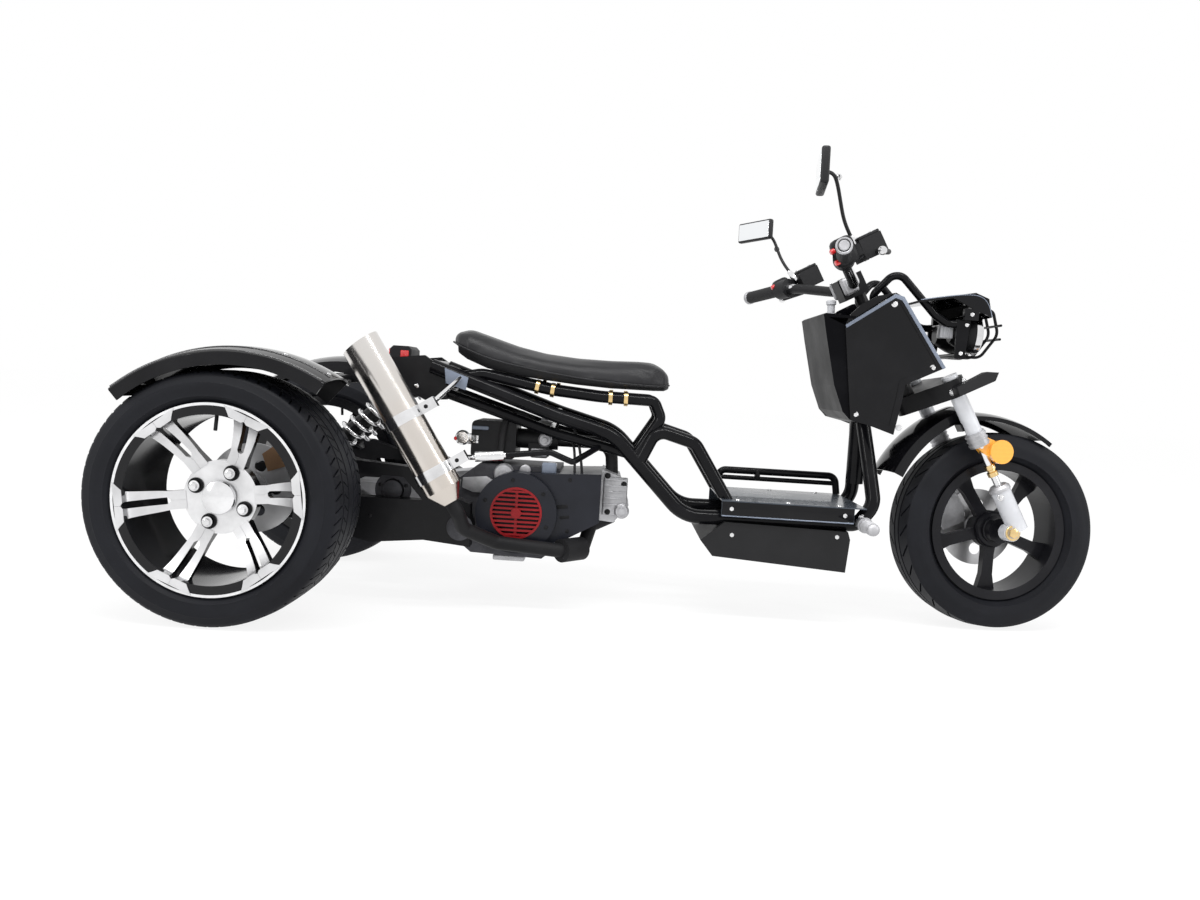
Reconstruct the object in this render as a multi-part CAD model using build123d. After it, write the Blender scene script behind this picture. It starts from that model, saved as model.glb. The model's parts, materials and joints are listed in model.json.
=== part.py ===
from build123d import *
import os
from math import asin, atan2, cos, degrees, hypot, radians, sin, sqrt

# Motor trike: one steered front wheel, a live rear axle with two wide wheels, a twin-tube cruiser frame.
# Millimetres. +X forward, +Y left, +Z up. Everything is drawn from the point on the floor below the rear axle
# and the finished part is shifted so that its origin is the bottom centre of its box.

# Running gear
wheelbase = 1728
rear_track = 752
rear_tyre_radius = 260
rear_tyre_width = 205
rear_bead_radius = 178
rear_lip_radius = 195
rear_rim_width = 190
front_tyre_radius = 236.5
front_tyre_width = 120
front_bead_radius = 152.5
front_lip_radius = 167
front_rim_width = 92
flange_wall = 7
rim_wall = 7
tyre_wall = 9

# Steering
rake = 28.7
trail = 67
stored_turn = 8
fork_half_width = 96
fork_offset = 76
stem_radius = 14
head_tube_radius = 25
head_tube_bottom = 650
head_tube_top = 845

# Clearances
seat_gap = 0.3
running_gap = 0.3
bearing_gap = 0.5
pad_gap = 4.5

# Frame
tube_radius = 17
half_frame = 110
seat_rail_radius = 13
hoop_radius = 15
cross_radius = 12
deck_top = 287
deck_sheet = 3
panel_sheet = 4

MIN, MID = Align.MIN, Align.CENTER


def bar(start, end, radius):
    """Straight round bar between two points."""
    run = Vector(*end) - Vector(*start)
    return Plane(origin=start, z_dir=run) * Cylinder(radius, run.length, align=(MID, MID, MIN))


def cone(start, end, radius_start, radius_end):
    """Straight tapered bar between two points."""
    run = Vector(*end) - Vector(*start)
    return Plane(origin=start, z_dir=run) * Cone(radius_start, radius_end, run.length, align=(MID, MID, MIN))


def tube(points, radius, bend):
    """Round bar along straight runs joined by tangent bends."""
    path = FilletPolyline(*points, radius=bend)
    return sweep(Plane(origin=path @ 0, z_dir=path % 0) * Circle(radius), path=path)


def slab(points, low, high):
    """Side-view outline of x and z, solid from y = low to y = high."""
    face = Pos(0, low, 0) * (Plane.XZ * make_face(Polyline(*points, close=True)))
    return extrude(face, amount=high - low, dir=(0, 1, 0))


def disc(x, z, radius, low, high):
    """Round plate about an axis across the trike, from y = low to y = high."""
    return bar((x, low, z), (x, high, z), radius)


def block(low, high):
    """Box between two corners."""
    size = [b - a for a, b in zip(low, high)]
    return Pos(*low) * Box(*size, align=(MIN, MIN, MIN))


def both(piece):
    """The piece and its mirror image on the other side of the trike."""
    return Part() + [piece, mirror(piece, about=Plane.XZ)]


def outline(start, *steps):
    """Closed face of lines and arcs. A step is (end,) for a line or (middle, end) for an arc."""
    edges = []
    here = start
    for step in steps + ((start,),):
        if step[-1] == here:
            continue
        edges.append(Line(here, step[0]) if len(step) == 1 else ThreePointArc(here, *step))
        here = step[-1]
    return make_face(edges)


def ring(*profile):
    """Ring made by turning a closed outline of (radius, y) about the Y axis."""
    return revolve(outline(*profile), Axis.Y)


def tyre(radius, width, bead_radius, lip_radius, rim_width):
    """Hollow tyre: beads inside the rim's flanges, bulged walls, rounded shoulders and a crowned tread."""
    half = width / 2
    bead = rim_width / 2 - flange_wall - seat_gap
    height = radius - lip_radius
    foot = bead_radius + seat_gap
    rim_edge = (lip_radius + 1.5, bead)
    belly = (lip_radius + 0.42 * height, half)
    shoulder = (radius - 0.2 * height, 0.95 * half)
    corner = (radius - 0.06 * height, 0.87 * half)
    tread = (radius - 0.02 * height, 0.74 * half)
    toe = (foot, bead - 1.6 * tyre_wall)
    inner_edge = (lip_radius + 4, bead - tyre_wall)
    inner_belly = (belly[0], half - tyre_wall)
    inner_shoulder = (radius - tyre_wall - 0.06 * height, 0.76 * half)

    def far(point):
        return (point[0], -point[1])

    return ring(
        (foot, bead), (rim_edge,), (belly, shoulder), (corner, tread), ((radius, 0), far(tread)),
        (far(corner), far(shoulder)), (far(belly), far(rim_edge)), ((foot, -bead),), (far(toe),),
        (far(inner_edge),), (far(inner_belly), far(inner_shoulder)), ((radius - tyre_wall, 0), inner_shoulder),
        (inner_belly, inner_edge), (toe,),
    )


def barrel(bead_radius, lip_radius, rim_width):
    """Rim barrel with two upright flanges."""
    half = rim_width / 2
    seat = half - flange_wall
    inside = bead_radius - rim_wall
    corners = [(lip_radius, seat), (bead_radius, seat), (bead_radius, -seat), (lip_radius, -seat),
               (lip_radius, -half), (inside, -half), (inside, half)]
    return ring((lip_radius, half), *[(corner,) for corner in corners])


# Rear wheels: six twin-bar spokes dished in from the lip to a flat hub face
spoke_count = 6
spoke_start = 7
spoke_root_half = 19
spoke_tip_half = 27
slot_half = 7
slot_root = 100
hub_radius = 75
hub_face = 32
hub_back = 5
spoke_depth = 18
spoke_tip_face = 84
cap_radius = 32
lug_circle = 55
lug_radius = 11
lug_start = 67


def rear_rim():
    """Right-hand rim about its own centre, its face towards -Y."""
    inside = rear_bead_radius - rim_wall
    root = inside + rim_wall / 2
    bend = 0.55 * root + 0.45 * hub_radius
    bend_face = 0.46 * spoke_tip_face + 13
    tip_back = spoke_tip_face - spoke_depth - 6
    dish = ring((0, -hub_back), (
        (0, -hub_face),), ((hub_radius, -hub_face),), ((bend, -bend_face), (root, -spoke_tip_face)),
        ((root, -tip_back),), ((bend, spoke_depth - bend_face), (hub_radius, -hub_back)))
    spoke = make_face(Polyline((0, spoke_root_half), (slot_root, spoke_root_half), (root + 4, spoke_tip_half),
                               (root + 4, -spoke_tip_half), (slot_root, -spoke_root_half), (0, -spoke_root_half),
                               close=True))
    slot = Pos(slot_root + slot_half, 0) * Circle(slot_half)
    slot += Pos(slot_root + slot_half, 0) * Rectangle(root, 2 * slot_half, align=(MIN, MID))
    plan = Circle(hub_radius + 1)
    for turn in range(spoke_count):
        plan += Rot(0, 0, spoke_start + turn * 360 / spoke_count) * (spoke - slot)
    columns = extrude(Plane.XZ * plan, amount=rear_rim_width / 2)
    face = dish & columns
    rim = face + barrel(rear_bead_radius, rear_lip_radius, rear_rim_width)
    cap_edge = -hub_face - 7
    rim += ring((0, -hub_back - 1), ((cap_radius, -hub_back - 1),), ((cap_radius, cap_edge),),
                ((0.6 * cap_radius, cap_edge - 7),), ((0, cap_edge - 7),))
    for turn in range(4):
        angle = radians(lug_start + 90 * turn)
        x, z = lug_circle * cos(angle), lug_circle * sin(angle)
        rim += disc(x, z, lug_radius, -hub_face - 12, -hub_back - 1)
    return rim


# Front wheel: five tapered spokes and a bored hub
front_spokes = 5
front_spoke_start = -120.7
front_hub_half = 56
front_axle_radius = 7.5


def front_rim():
    """Black five-spoke rim about its own centre with a bored hub."""
    inside = front_bead_radius - rim_wall
    root = inside + rim_wall / 2
    spoke = make_face(Polyline((0, 19), (60, 13), (110, 14), (root + 4, 24), (root + 4, -24), (110, -14),
                               (60, -13), (0, -19), close=True))
    plan = Circle(46)
    for turn in range(front_spokes):
        plan += Rot(0, 0, front_spoke_start + turn * 360 / front_spokes) * spoke
    web = extrude(Plane.XZ * plan, amount=11, both=True)
    web &= ring((0, 11), ((46, 11),), ((root, 9),), ((root, -9),), ((46, -11),), ((0, -11),))
    rim = web + barrel(front_bead_radius, front_lip_radius, front_rim_width)
    rim += disc(0, 0, 30, -front_hub_half, front_hub_half)
    return rim - disc(0, 0, front_axle_radius + running_gap, -front_hub_half, front_hub_half)


# Place of the steered parts: turned about the steering axis, then lifted until the tyre stands on the floor
axis_foot = wheelbase + trail
hub_x = front_tyre_radius * sin(radians(rake)) - trail * cos(radians(rake))
hub_z = front_tyre_radius * cos(radians(rake)) + trail * sin(radians(rake))
hub_place = Pos(hub_x, 0, hub_z)
front_tyre = hub_place * tyre(front_tyre_radius, front_tyre_width, front_bead_radius, front_lip_radius,
                              front_rim_width)
turned = Pos(axis_foot, 0, 0) * Rot(0, -rake, 0) * Rot(0, 0, stored_turn)
steered = Pos(0, 0, -(turned * front_tyre).bounding_box().min.Z) * turned

parts = {}

# Rear axle and wheels
wheel_side = Pos(0, -rear_track / 2, rear_tyre_radius)
parts["rear_rims"] = both(wheel_side * rear_rim())
parts["rear_tyres"] = both(wheel_side * tyre(rear_tyre_radius, rear_tyre_width, rear_bead_radius, rear_lip_radius,
                                             rear_rim_width))
axle_radius = 20
axle_end = rear_track / 2 + hub_back
flange_thick = 12
axle_z = rear_tyre_radius
axle = disc(0, axle_z, axle_radius, -axle_end, axle_end)
axle += both(disc(0, axle_z, 70, -axle_end, flange_thick - axle_end))
axle += both(cone((0, flange_thick - axle_end, axle_z), (0, flange_thick + 34 - axle_end, axle_z), 38, 30))
parts["rear_axle_shaft"] = axle

brake_y = -232
brake_radius = 100
disc_thick = 5
disc_windows = 5
window_circle, window_radius = 52, 13
rear_disc = disc(0, axle_z, brake_radius, brake_y - disc_thick / 2, brake_y + disc_thick / 2)
rear_disc += disc(0, axle_z, 34, brake_y - 12, brake_y + 16)
for turn in range(disc_windows):
    angle = radians(turn * 360 / disc_windows)
    rear_disc -= disc(window_circle * cos(angle), axle_z + window_circle * sin(angle), window_radius,
                      brake_y - disc_thick, brake_y + disc_thick)
rear_disc -= disc(0, axle_z, axle_radius, brake_y - 20, brake_y + 20)
parts["rear_brake_disc"] = rear_disc

chain_y = -40
sprocket_thick = 5
chain_pitch = 12.7
plate_half, plate_thick = 5.5, 2
band_low = sprocket_thick / 2 + 0.4
roller_radius, roller_half = 4, 3.5
rear_teeth = 34
drive_teeth = 17
drive_x = 205
drive_z = 196


def sprocket(teeth, hub_radius, hub_half, bore):
    """Toothed wheel about the Y axis for a roller chain."""
    pitch_radius = chain_pitch / 2 / sin(radians(180 / teeth))
    wheel = disc(0, 0, pitch_radius + 3.5, -sprocket_thick / 2, sprocket_thick / 2)
    for turn in range(teeth):
        angle = radians(360 * turn / teeth)
        x, z = pitch_radius * cos(angle), pitch_radius * sin(angle)
        wheel -= disc(x, z, roller_radius + running_gap, -sprocket_thick, sprocket_thick)
    wheel += disc(0, 0, hub_radius, -hub_half, hub_half)
    if bore:
        wheel -= disc(0, 0, bore, -hub_half, hub_half)
    return wheel


parts["rear_sprocket"] = Pos(0, chain_y, axle_z) * sprocket(rear_teeth, 34, 12, axle_radius)


def chain():
    """Roller chain as one fixed loop: two side bands beside the sprockets and rollers on the straight runs."""
    rear_pitch = chain_pitch / 2 / sin(radians(180 / rear_teeth))
    drive_pitch = chain_pitch / 2 / sin(radians(180 / drive_teeth))

    def loop(edge):
        circles = Pos(0, axle_z) * Circle(rear_pitch + edge) + Pos(drive_x, drive_z) * Circle(drive_pitch + edge)
        return make_hull(circles.edges())

    band = loop(plate_half) - loop(-plate_half)
    plates = Part()
    for low in (band_low, -band_low - plate_thick):
        plates += extrude(Pos(0, chain_y + low, 0) * (Plane.XZ * band), amount=plate_thick, dir=(0, 1, 0))
    span = Vector(drive_x, drive_z - axle_z)
    lean = asin((rear_pitch - drive_pitch) / span.length)
    heading = atan2(span.Y, span.X)
    run = sqrt(span.length ** 2 - (rear_pitch - drive_pitch) ** 2)
    for side in (1, -1):
        normal = heading + side * (radians(90) - lean)
        start_x, start_z = rear_pitch * cos(normal), axle_z + rear_pitch * sin(normal)
        along = heading - side * lean
        for step in range(3, int(run / chain_pitch) - 1):
            x = start_x + step * chain_pitch * cos(along)
            z = start_z + step * chain_pitch * sin(along)
            plates += disc(x, z, roller_radius, chain_y - roller_half, chain_y + roller_half)
    return plates


parts["drive_chain"] = chain()

# Frame tubes of the right-hand side, as points of x, y and z
main_points = [
    (363, -half_frame, 554), (655, -half_frame, 457), (795, -half_frame, 419), (968, -half_frame, 239),
    (1374, -half_frame, 244), (1410, -half_frame, 292), (1402, -62, 390), (1390, -32, 480),
]
main_bends = [300, 120, 90, 34, 50, 60]
lower_points = [(372, -88, 500), (656, -88, 413), (852, -98, 372)]
rail_points = [
    (425, -106, 531), (480, -97, 543), (639, -95, 514.7), (756, -95, 505), (885, -95, 503),
    (903, -97, 462), (845, -half_frame, 367),
]
rail_bends = [60, 300, 400, 18, 24]
deck_rear, deck_front = 1052, 1384
hoop_points = [(856, -half_frame, 356), (893, -half_frame, 437), (985, -half_frame, 411),
               (deck_rear + 20, -half_frame, deck_top - 12)]
down_x = 1388
down_radius = 21

main_tube = tube(main_points, tube_radius, main_bends)
lower_tube = tube(lower_points, cross_radius, 200)
seat_rail = tube(rail_points, seat_rail_radius, rail_bends)
hoop = tube(hoop_points, hoop_radius, [34, 34])

# Head tube and down tube
head_tube = steered * Pos(0, 0, head_tube_bottom) * Cylinder(
    head_tube_radius, head_tube_top - head_tube_bottom, align=(MID, MID, MIN))
down_tube = tube([(1470, 0, 596), (down_x, 0, 490), (down_x, 0, 330)], down_radius, 60)
gusset = slab([(1470, 600), (1405, 545), (1398, 470), (1420, 500), (1478, 575)], -4, 4)
stem_bore = steered * Pos(0, 0, head_tube_bottom) * Cylinder(
    stem_radius + running_gap, head_tube_top - head_tube_bottom, align=(MID, MID, MIN))
race_space = steered * Pos(0, 0, head_tube_bottom) * Cylinder(
    head_tube_radius + 3, 90, align=(MID, MID, Align.MAX))
head_frame = head_tube + down_tube + gusset - stem_bore - race_space
main_tubes = both(main_tube) - head_frame
parts["head_frame"] = head_frame
parts["main_tubes"] = main_tubes

rails = both(seat_rail) - main_tubes
parts["seat_rails"] = rails
cradle = both(lower_tube) - main_tubes - rails
# Cross tubes between the two sides: x, z, half length
cross_places = [(360, 556, 100), (388, 494, 100), (655, 457, half_frame), (640, 418, 92)]
cross_tubes = Part()
for x, z, half in cross_places:
    cross_tubes += disc(x, z, cross_radius, -half, half)
parts["cradle_tubes"] = cradle + (cross_tubes - main_tubes)
hoops = both(hoop) - main_tubes - rails - block((950, -300, 150), (1150, 300, deck_top))
parts["deck_hoops"] = hoops

# Deck, its cross bars and the box below it
deck_half = half_frame + 40
side_plate_bottom = 250
side_plate_front = deck_front - 27
bar_half = 10
deck_bar_places = [deck_rear + 48, deck_front - 49]
deck = block((deck_rear, -deck_half, deck_top - deck_sheet), (deck_front, deck_half, deck_top))
deck += both(block((deck_rear, -deck_half, side_plate_bottom), (side_plate_front, deck_sheet - deck_half, deck_top)))
for x in deck_bar_places:
    deck += block((x - bar_half, deck_sheet - deck_half, side_plate_bottom + 6),
                  (x + bar_half, deck_half - deck_sheet, deck_top - deck_sheet))
parts["deck"] = deck - main_tubes
box_outline = [(1009, 190), (1039, 154), (1348, 134), (1354, 211), (1348, 229), (1063, 235)]
box_half = deck_half - 10
parts["underdeck_box"] = slab(box_outline, -box_half, box_half) - main_tubes
rail_y, rail_top, rail_middle = deck_half - 12, 333, 314
rail_rear, rail_front = deck_rear + 14, deck_front - 5
step_rail = tube([(rail_rear, rail_y, deck_top), (rail_rear + 8, rail_y, rail_top),
                  (rail_front - 7, rail_y, rail_top), (rail_front, rail_y, deck_top)], 9, 20)
step_rail += bar((rail_rear + 2, rail_y, rail_middle), (rail_front - 2, rail_y, rail_middle), 6)
parts["step_rail"] = step_rail - block((deck_rear - 50, rail_y - 40, 200), (deck_front + 60, rail_y + 60, deck_top))
peg_radius = 14
peg_x, peg_z, peg_out = 1380, 250, half_frame + 122
foot_peg = disc(peg_x, peg_z, peg_radius, -peg_out, -half_frame)
collar_y = -deck_half - 9
foot_peg += disc(peg_x, peg_z, peg_radius + 4, collar_y - 6, collar_y)
parts["foot_pegs"] = both(foot_peg) - main_tubes

# Rear brackets, the cross shelf and the bar that carries the fenders
shelf_top = 552
fender_bar_x, fender_bar_z, fender_bar_radius = 170, 513, 10
rack_hole_spacing = 130
rack_hole_radius = 3.3
rack_x = 218
plate = slab([(392, 548), (345, 578), (200, 560), (158, 526), (158, 500), (250, 520), (303, 498), (350, 474),
              (402, 478)], -half_frame - 2, 10 - half_frame)
fender_bar_half = rear_track / 2 + 64
brackets = both(plate) + disc(fender_bar_x, fender_bar_z, fender_bar_radius, -fender_bar_half, fender_bar_half)
brackets += block((202, 9 - half_frame, shelf_top - 4), (300, half_frame - 9, shelf_top))
for side in (1, -1):
    brackets -= Pos(rack_x, side * rack_hole_spacing / 2, shelf_top - 2) * Cylinder(rack_hole_radius, 10)
parts["rear_brackets"] = brackets - main_tubes - parts["cradle_tubes"]
lamp = block((248, -48, shelf_top), (300, 48, shelf_top + 46))
lamp = chamfer(lamp.edges().filter_by(Axis.Y), 8)
parts["tail_lamp"] = lamp

# Fenders: an arc of crowned sheet over each rear wheel
fender_x, fender_z, fender_radius = 39, 197, 364
fender_start, fender_end = 59, 131
fender_sheet = 4
fender_out, fender_in = 483, 292
lip = 30
crest = 9


def fender():
    """Right-hand fender: crowned strip with a lip at its outer edge, turned about a point ahead of the axle."""
    r = fender_radius
    centre = -rear_track / 2
    inner = r - 8
    shoulder = 10 - fender_out
    section = outline(
        (r - lip, -fender_out), ((r - 6, -fender_out),), ((r - 2, 3 - fender_out), (r, shoulder)),
        ((r + crest, centre), (inner, -fender_in)), ((inner - fender_sheet, -fender_in),),
        ((r + crest - fender_sheet, centre), (r - fender_sheet, shoulder)), ((r - lip, fender_sheet - fender_out),))
    strip = revolve(section, Axis.Y, revolution_arc=fender_end - fender_start)
    return Pos(fender_x, 0, fender_z) * Rot(0, -fender_end, 0) * strip


parts["rear_fenders"] = both(fender()) - brackets

# Axle carrier: two windowed arms with bearing eyes, tied by cross tubes
arm_outline = [(-10, 312), (70, 350), (150, 350), (215, 330), (330, 322), (430, 262), (476, 245), (480, 146),
               (373, 156), (250, 144), (60, 190), (-10, 208)]
arm_window = [(165, 302), (322, 298), (368, 247), (190, 247)]
eye_radius = 52
right_arm = (-175, -135)
left_arm = (200, 240)
shock_low = (110, 335)
carrier = Part()
for low, high in (right_arm, left_arm):
    carrier += slab(arm_outline, low, high) + disc(0, axle_z, eye_radius, low - 4, high + 4)
    carrier -= slab(arm_window, low, high)
for x, z in (shock_low, (350, 302)):
    carrier += disc(x, z, cross_radius, right_arm[0], left_arm[1])
pivot_x, pivot_z = 456, 190
case_right, case_left = -85, 95
cvt_left = 185
carrier += disc(pivot_x, pivot_z, 22, right_arm[1], case_right)
carrier += disc(pivot_x, pivot_z, 22, cvt_left, left_arm[0])
carrier -= disc(0, axle_z, axle_radius + bearing_gap, right_arm[0] - 10, left_arm[1] + 10)
parts["axle_carrier"] = carrier
caliper = slab([(38, 300), (100, 322), (92, 372), (60, 366), (24, 338)], brake_y - 18, -176)
caliper -= disc(0, axle_z, 44, brake_y - 30, -150)
caliper += slab([(60, 300), (100, 322), (92, 350), (60, 345)], -215, right_arm[0])
caliper -= disc(0, axle_z, brake_radius + pad_gap, brake_y - pad_gap, brake_y + pad_gap)
parts["rear_caliper"] = caliper

# Rear shocks: damper with a coil drawn as a ribbed sleeve
shock_high = (360, 556)
shock_y = 66
coil_turns = 8


def shock():
    """Coil-over damper standing on Z with its eyes at the two ends."""
    length = hypot(shock_high[0] - shock_low[0], shock_high[1] - shock_low[1])
    damper = Cylinder(11, length, align=(MID, MID, MIN))
    low, high = 0.13 * length, 0.72 * length
    pitch = (high - low) / coil_turns
    profile = [(0, low - 6), (33, low - 6), (33, low)]
    for turn in range(coil_turns):
        start = low + turn * pitch
        profile += [(27, start + 0.1 * pitch), (32, start + 0.35 * pitch), (32, start + 0.65 * pitch),
                    (27, start + 0.9 * pitch)]
    profile += [(33, high), (33, high + 6), (24, high + 8), (24, 0.93 * length), (0, 0.93 * length)]
    face = make_face(Plane.XZ * Polyline(*profile, close=True))
    return damper + revolve(face, Axis.Z)


lean = degrees(atan2(shock_high[0] - shock_low[0], shock_high[1] - shock_low[1]))
right_shock = Pos(shock_low[0], -shock_y, shock_low[1]) * Rot(0, lean, 0) * shock()
parts["rear_shocks"] = both(right_shock) - carrier - cross_tubes

# Engine
fan_x, fan_z = 580, 227
fan_radius = 94
fan_face = -150
grille_radius = 60
clutch_x, clutch_z = 218, 191
case = slab([(430, 150), (470, 118), (640, 112), (672, 140), (672, 330), (480, 330), (430, 290)],
            case_right, case_left)
gearbox = block((165, -15, 132), (330, case_left, 262))
gearbox += disc(drive_x, drive_z, 12, chain_y - 14, -15)
gearbox += Pos(drive_x, chain_y, drive_z) * sprocket(drive_teeth, 18, 7, 0)
parts["crankcase"] = case
parts["gearbox"] = gearbox
cvt = make_hull((Pos(fan_x, fan_z) * Circle(88) + Pos(clutch_x, clutch_z) * Circle(72)).edges())
cvt_case = extrude(Pos(0, case_left, 0) * (Plane.XZ * cvt), amount=cvt_left - case_left, dir=(0, 1, 0))
parts["cvt_case"] = cvt_case
cowl_right = -135
cowl_left = 85
shroud = disc(fan_x, fan_z, fan_radius, fan_face, case_right)
shroud += slab([(600, 318), (672, 322), (672, 160), (600, 146)], cowl_right, case_right)
shroud += slab([(672, 322), (772, 327), (772, 213), (700, 172), (672, 162)], cowl_right, cowl_left)
shroud -= disc(fan_x, fan_z, grille_radius, fan_face, fan_face + 24)
parts["fan_shroud"] = shroud
grille = disc(fan_x, fan_z, grille_radius, fan_face - 2, fan_face + 6)
grille -= disc(fan_x, fan_z, grille_radius - 5, fan_face - 2, fan_face + 6)
slat_pitch, slat_half, slats_above = 10, 2.4, 5
slats = Part()
for row in range(-slats_above, slats_above + 1):
    z = fan_z + slat_pitch * row
    slats += block((fan_x - grille_radius, fan_face - 1, z - slat_half),
                   (fan_x + grille_radius, fan_face + 3, z + slat_half))
slats += block((fan_x - 3, fan_face + 1, fan_z - grille_radius), (fan_x + 3, fan_face + 4, fan_z + grille_radius))
grille += slats & disc(fan_x, fan_z, grille_radius - 2, fan_face - 2, fan_face + 6)
grille += disc(fan_x, fan_z, 12, fan_face - 3, fan_face + 6)
parts["fan_grille"] = grille
head = slab([(772, 333), (815, 318), (840, 250), (806, 207), (772, 210)], -65, 65)
parts["cylinder_head"] = head
airbox = block((455, -60, 342), (562, 60, 432))
airbox = fillet(airbox.edges().filter_by(Axis.Y), 12)
airbox += block((480, -20, 330), (530, 20, 343))
intake = airbox + bar((560, -8, 392), (660, -8, 392), 24) + block((590, -30, 352), (640, 14, 392))
intake += tube([(650, -8, 392), (790, -8, 392), (796, -8, 318)], 15, 40)
parts["intake"] = intake - head - cross_tubes - shroud

# Exhaust
muffler_y = -258
muffler_top = Vector(233, muffler_y, 593)
muffler_run = Vector(212, 0, -330).normalized()
muffler_radius = 43
muffler_length = 364
inlet = muffler_top + muffler_run * (muffler_length + 34)
header_radius = 16
entry = inlet + muffler_run * 26
header = tube([(800, -30, 216), (752, -62, 196), (738, -110, 150), (690, -172, 150), (540, -172, 160),
               (472, -226, 196), tuple(entry),
               tuple(inlet)], header_radius, [24, 24, 30, 30, 30, 16])
header += bar((735, -122, 150), (690, -172, 150), 27)
parts["exhaust_header"] = header - head - shroud
can = bar(tuple(muffler_top - muffler_run * 20), tuple(muffler_top + muffler_run * muffler_length), muffler_radius)
bore = bar(tuple(muffler_top - muffler_run * 30), tuple(muffler_top + muffler_run * 60), muffler_radius - 3)
can -= bore
can += cone(tuple(muffler_top + muffler_run * muffler_length), tuple(inlet), muffler_radius, header_radius + 3)
cut = Plane(origin=tuple(muffler_top), x_dir=(57, 0, 47), z_dir=(-47, 0, 57))
can -= cut * Box(300, 200, 200, align=(MID, MID, MIN))
parts["muffler"] = can - header
bands = Part()
across = Vector(0.842, 0, 0.541)
stay_radius = 6
band_places, band_half = (189, 324), 12
upper_lug, lower_lug = [tuple(muffler_top + muffler_run * place + across * 70) for place in band_places]
for place in band_places:
    centre = muffler_top + muffler_run * place
    band = bar(tuple(centre - muffler_run * band_half), tuple(centre + muffler_run * band_half), muffler_radius + 3)
    lug = Plane(origin=tuple(centre + across * 58), x_dir=across, z_dir=muffler_run) * Box(46, 22, 24)
    bands += band + lug
bands -= bar(tuple(muffler_top), tuple(muffler_top + muffler_run * muffler_length), muffler_radius)
bands += bar(upper_lug, (436, -118, 534), stay_radius)
bands += tube([lower_lug, (486, -215, 356), (654, -200, 377), (706, -190, 356), (762, -100, 388)], stay_radius, 12)
parts["muffler_bands"] = bands - can - main_tubes - parts["cradle_tubes"]

# Seat and its saddle clamps
seat_side = [(402, 640), (440, 640), (500, 624), (554, 606), (620, 594), (700, 588), (800, 589), (884, 590),
             (914, 575), (920, 540), (905, 520), (756, 518.3), (639, 528), (521, 544), (450, 566), (417, 606)]
seat_plan = [(400, 96), (430, 120), (640, 120), (840, 104), (900, 92), (921, 60)]
seat_outline = seat_plan + [(x, -y) for x, y in reversed(seat_plan)]
seat = slab(seat_side, -130, 130) & extrude(Pos(0, 0, 500) * make_face(Polyline(*seat_outline, close=True)), 200)
seat -= both(tube(rail_points, seat_rail_radius + seat_gap, rail_bends))
seat -= both(tube(main_points, tube_radius + seat_gap, main_bends))
clamps = Part()
# Saddle clamps on the seat rails: x, z, slope of the rail
for x, z, slope in ((610, 520, -10), (646, 514.3, -7), (782, 504.6, 0), (818, 504, 0)):
    clamps += Pos(x, -95, z) * Rot(0, 90 - slope, 0) * Cylinder(seat_rail_radius + 4, 9)
clamps = both(clamps)
seat -= clamps
parts["seat"] = seat
parts["seat_clamps"] = clamps - both(seat_rail)

# Leg shield: curved rider-side shell, two side panels and a front panel
shield_half = 130
panel = [(1306, 703), (1414, 779), (1434, 774), (1541, 619), (1453, 575), (1449, 540), (1435, 459), (1376, 478),
         (1334, 487)]
panel_frame, panel_recess = 15, 1.5
frame_face = make_face(Polyline(*panel, close=True))
recess = extrude(Pos(0, -shield_half - panel_sheet, 0) * (Plane.XZ * offset(frame_face, -panel_frame)),
                 amount=panel_recess, dir=(0, 1, 0))
parts["legshield_sides"] = both(slab(panel, -shield_half - panel_sheet, -shield_half) - recess)
back_outer = [(1256, 724), (1267, 672), (1292, 565), (1316, 505), (1336, 487), (1376, 478), (1376, 482),
              (1339, 491), (1320, 507), (1296, 567), (1271, 673), (1261, 724)]
back = slab(back_outer, -shield_half, shield_half)
back += both(slab([(1256, 724), (1306, 703), (1334, 487), (1316, 505), (1292, 565), (1267, 672)],
                  -shield_half, panel_sheet - shield_half))
back += slab([(1256, 724), (1261, 728), (1330, 724), (1330, 719), (1262, 719)], -shield_half, shield_half)
front_panel = slab([(1436, 770), (1541, 619), (1536, 617), (1431, 768)], -shield_half, shield_half)
parts["legshield_back"] = back - main_tubes - head_frame
parts["legshield_front"] = front_panel

# Guard tubes and twin headlamps
guard_y = 95
guard = tube([(1415, -22, 693), (1378, -72, 780), (1425, -guard_y, 838), (1519, -guard_y, 740),
              (1548, -guard_y, 722), (1600, -guard_y, 722)], 9, [22, 26, 60, 30])
lamp_bar = disc(1578, 722, 8, -guard_y, guard_y)
lamp_plate = both(slab([(1568, 732), (1600, 732), (1592, 642), (1570, 642)], -104, -98))
low_bar = disc(1580, 650, 6, -101, 101)
guards = both(guard) + lamp_bar + lamp_plate + low_bar - head_frame - stem_bore
parts["guard_tubes"] = guards - front_panel
lamp_y = 52
lamp_x, lamp_z = 1628, 704
bowl = Pos(lamp_x, -lamp_y, lamp_z) * Rot(0, 90, 0)
bowl_solid = revolve(make_face(Plane.XZ * Polyline((0, -56), (22, -56), (43, -18), (46, -8), (46, 0), (0, 6),
                                                    close=True)), Axis.Z)
parts["headlamps"] = both(bowl * bowl_solid) - guards
visor_top = [(1477, 771), (1601, 794), (1632, 782), (1642, 740), (1636, 738), (1627, 778), (1600, 788), (1479, 766)]
visor = slab(visor_top, -118, 118)
visor += both(slab([(1545, 783), (1601, 794), (1632, 782), (1642, 740), (1600, 756)], -118, -114))
visor += both(slab([(1580, 731), (1612, 731), (1612, 757), (1580, 757)], -118, -104))
parts["headlamp_visor"] = visor - guards
wires = Part()
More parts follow.
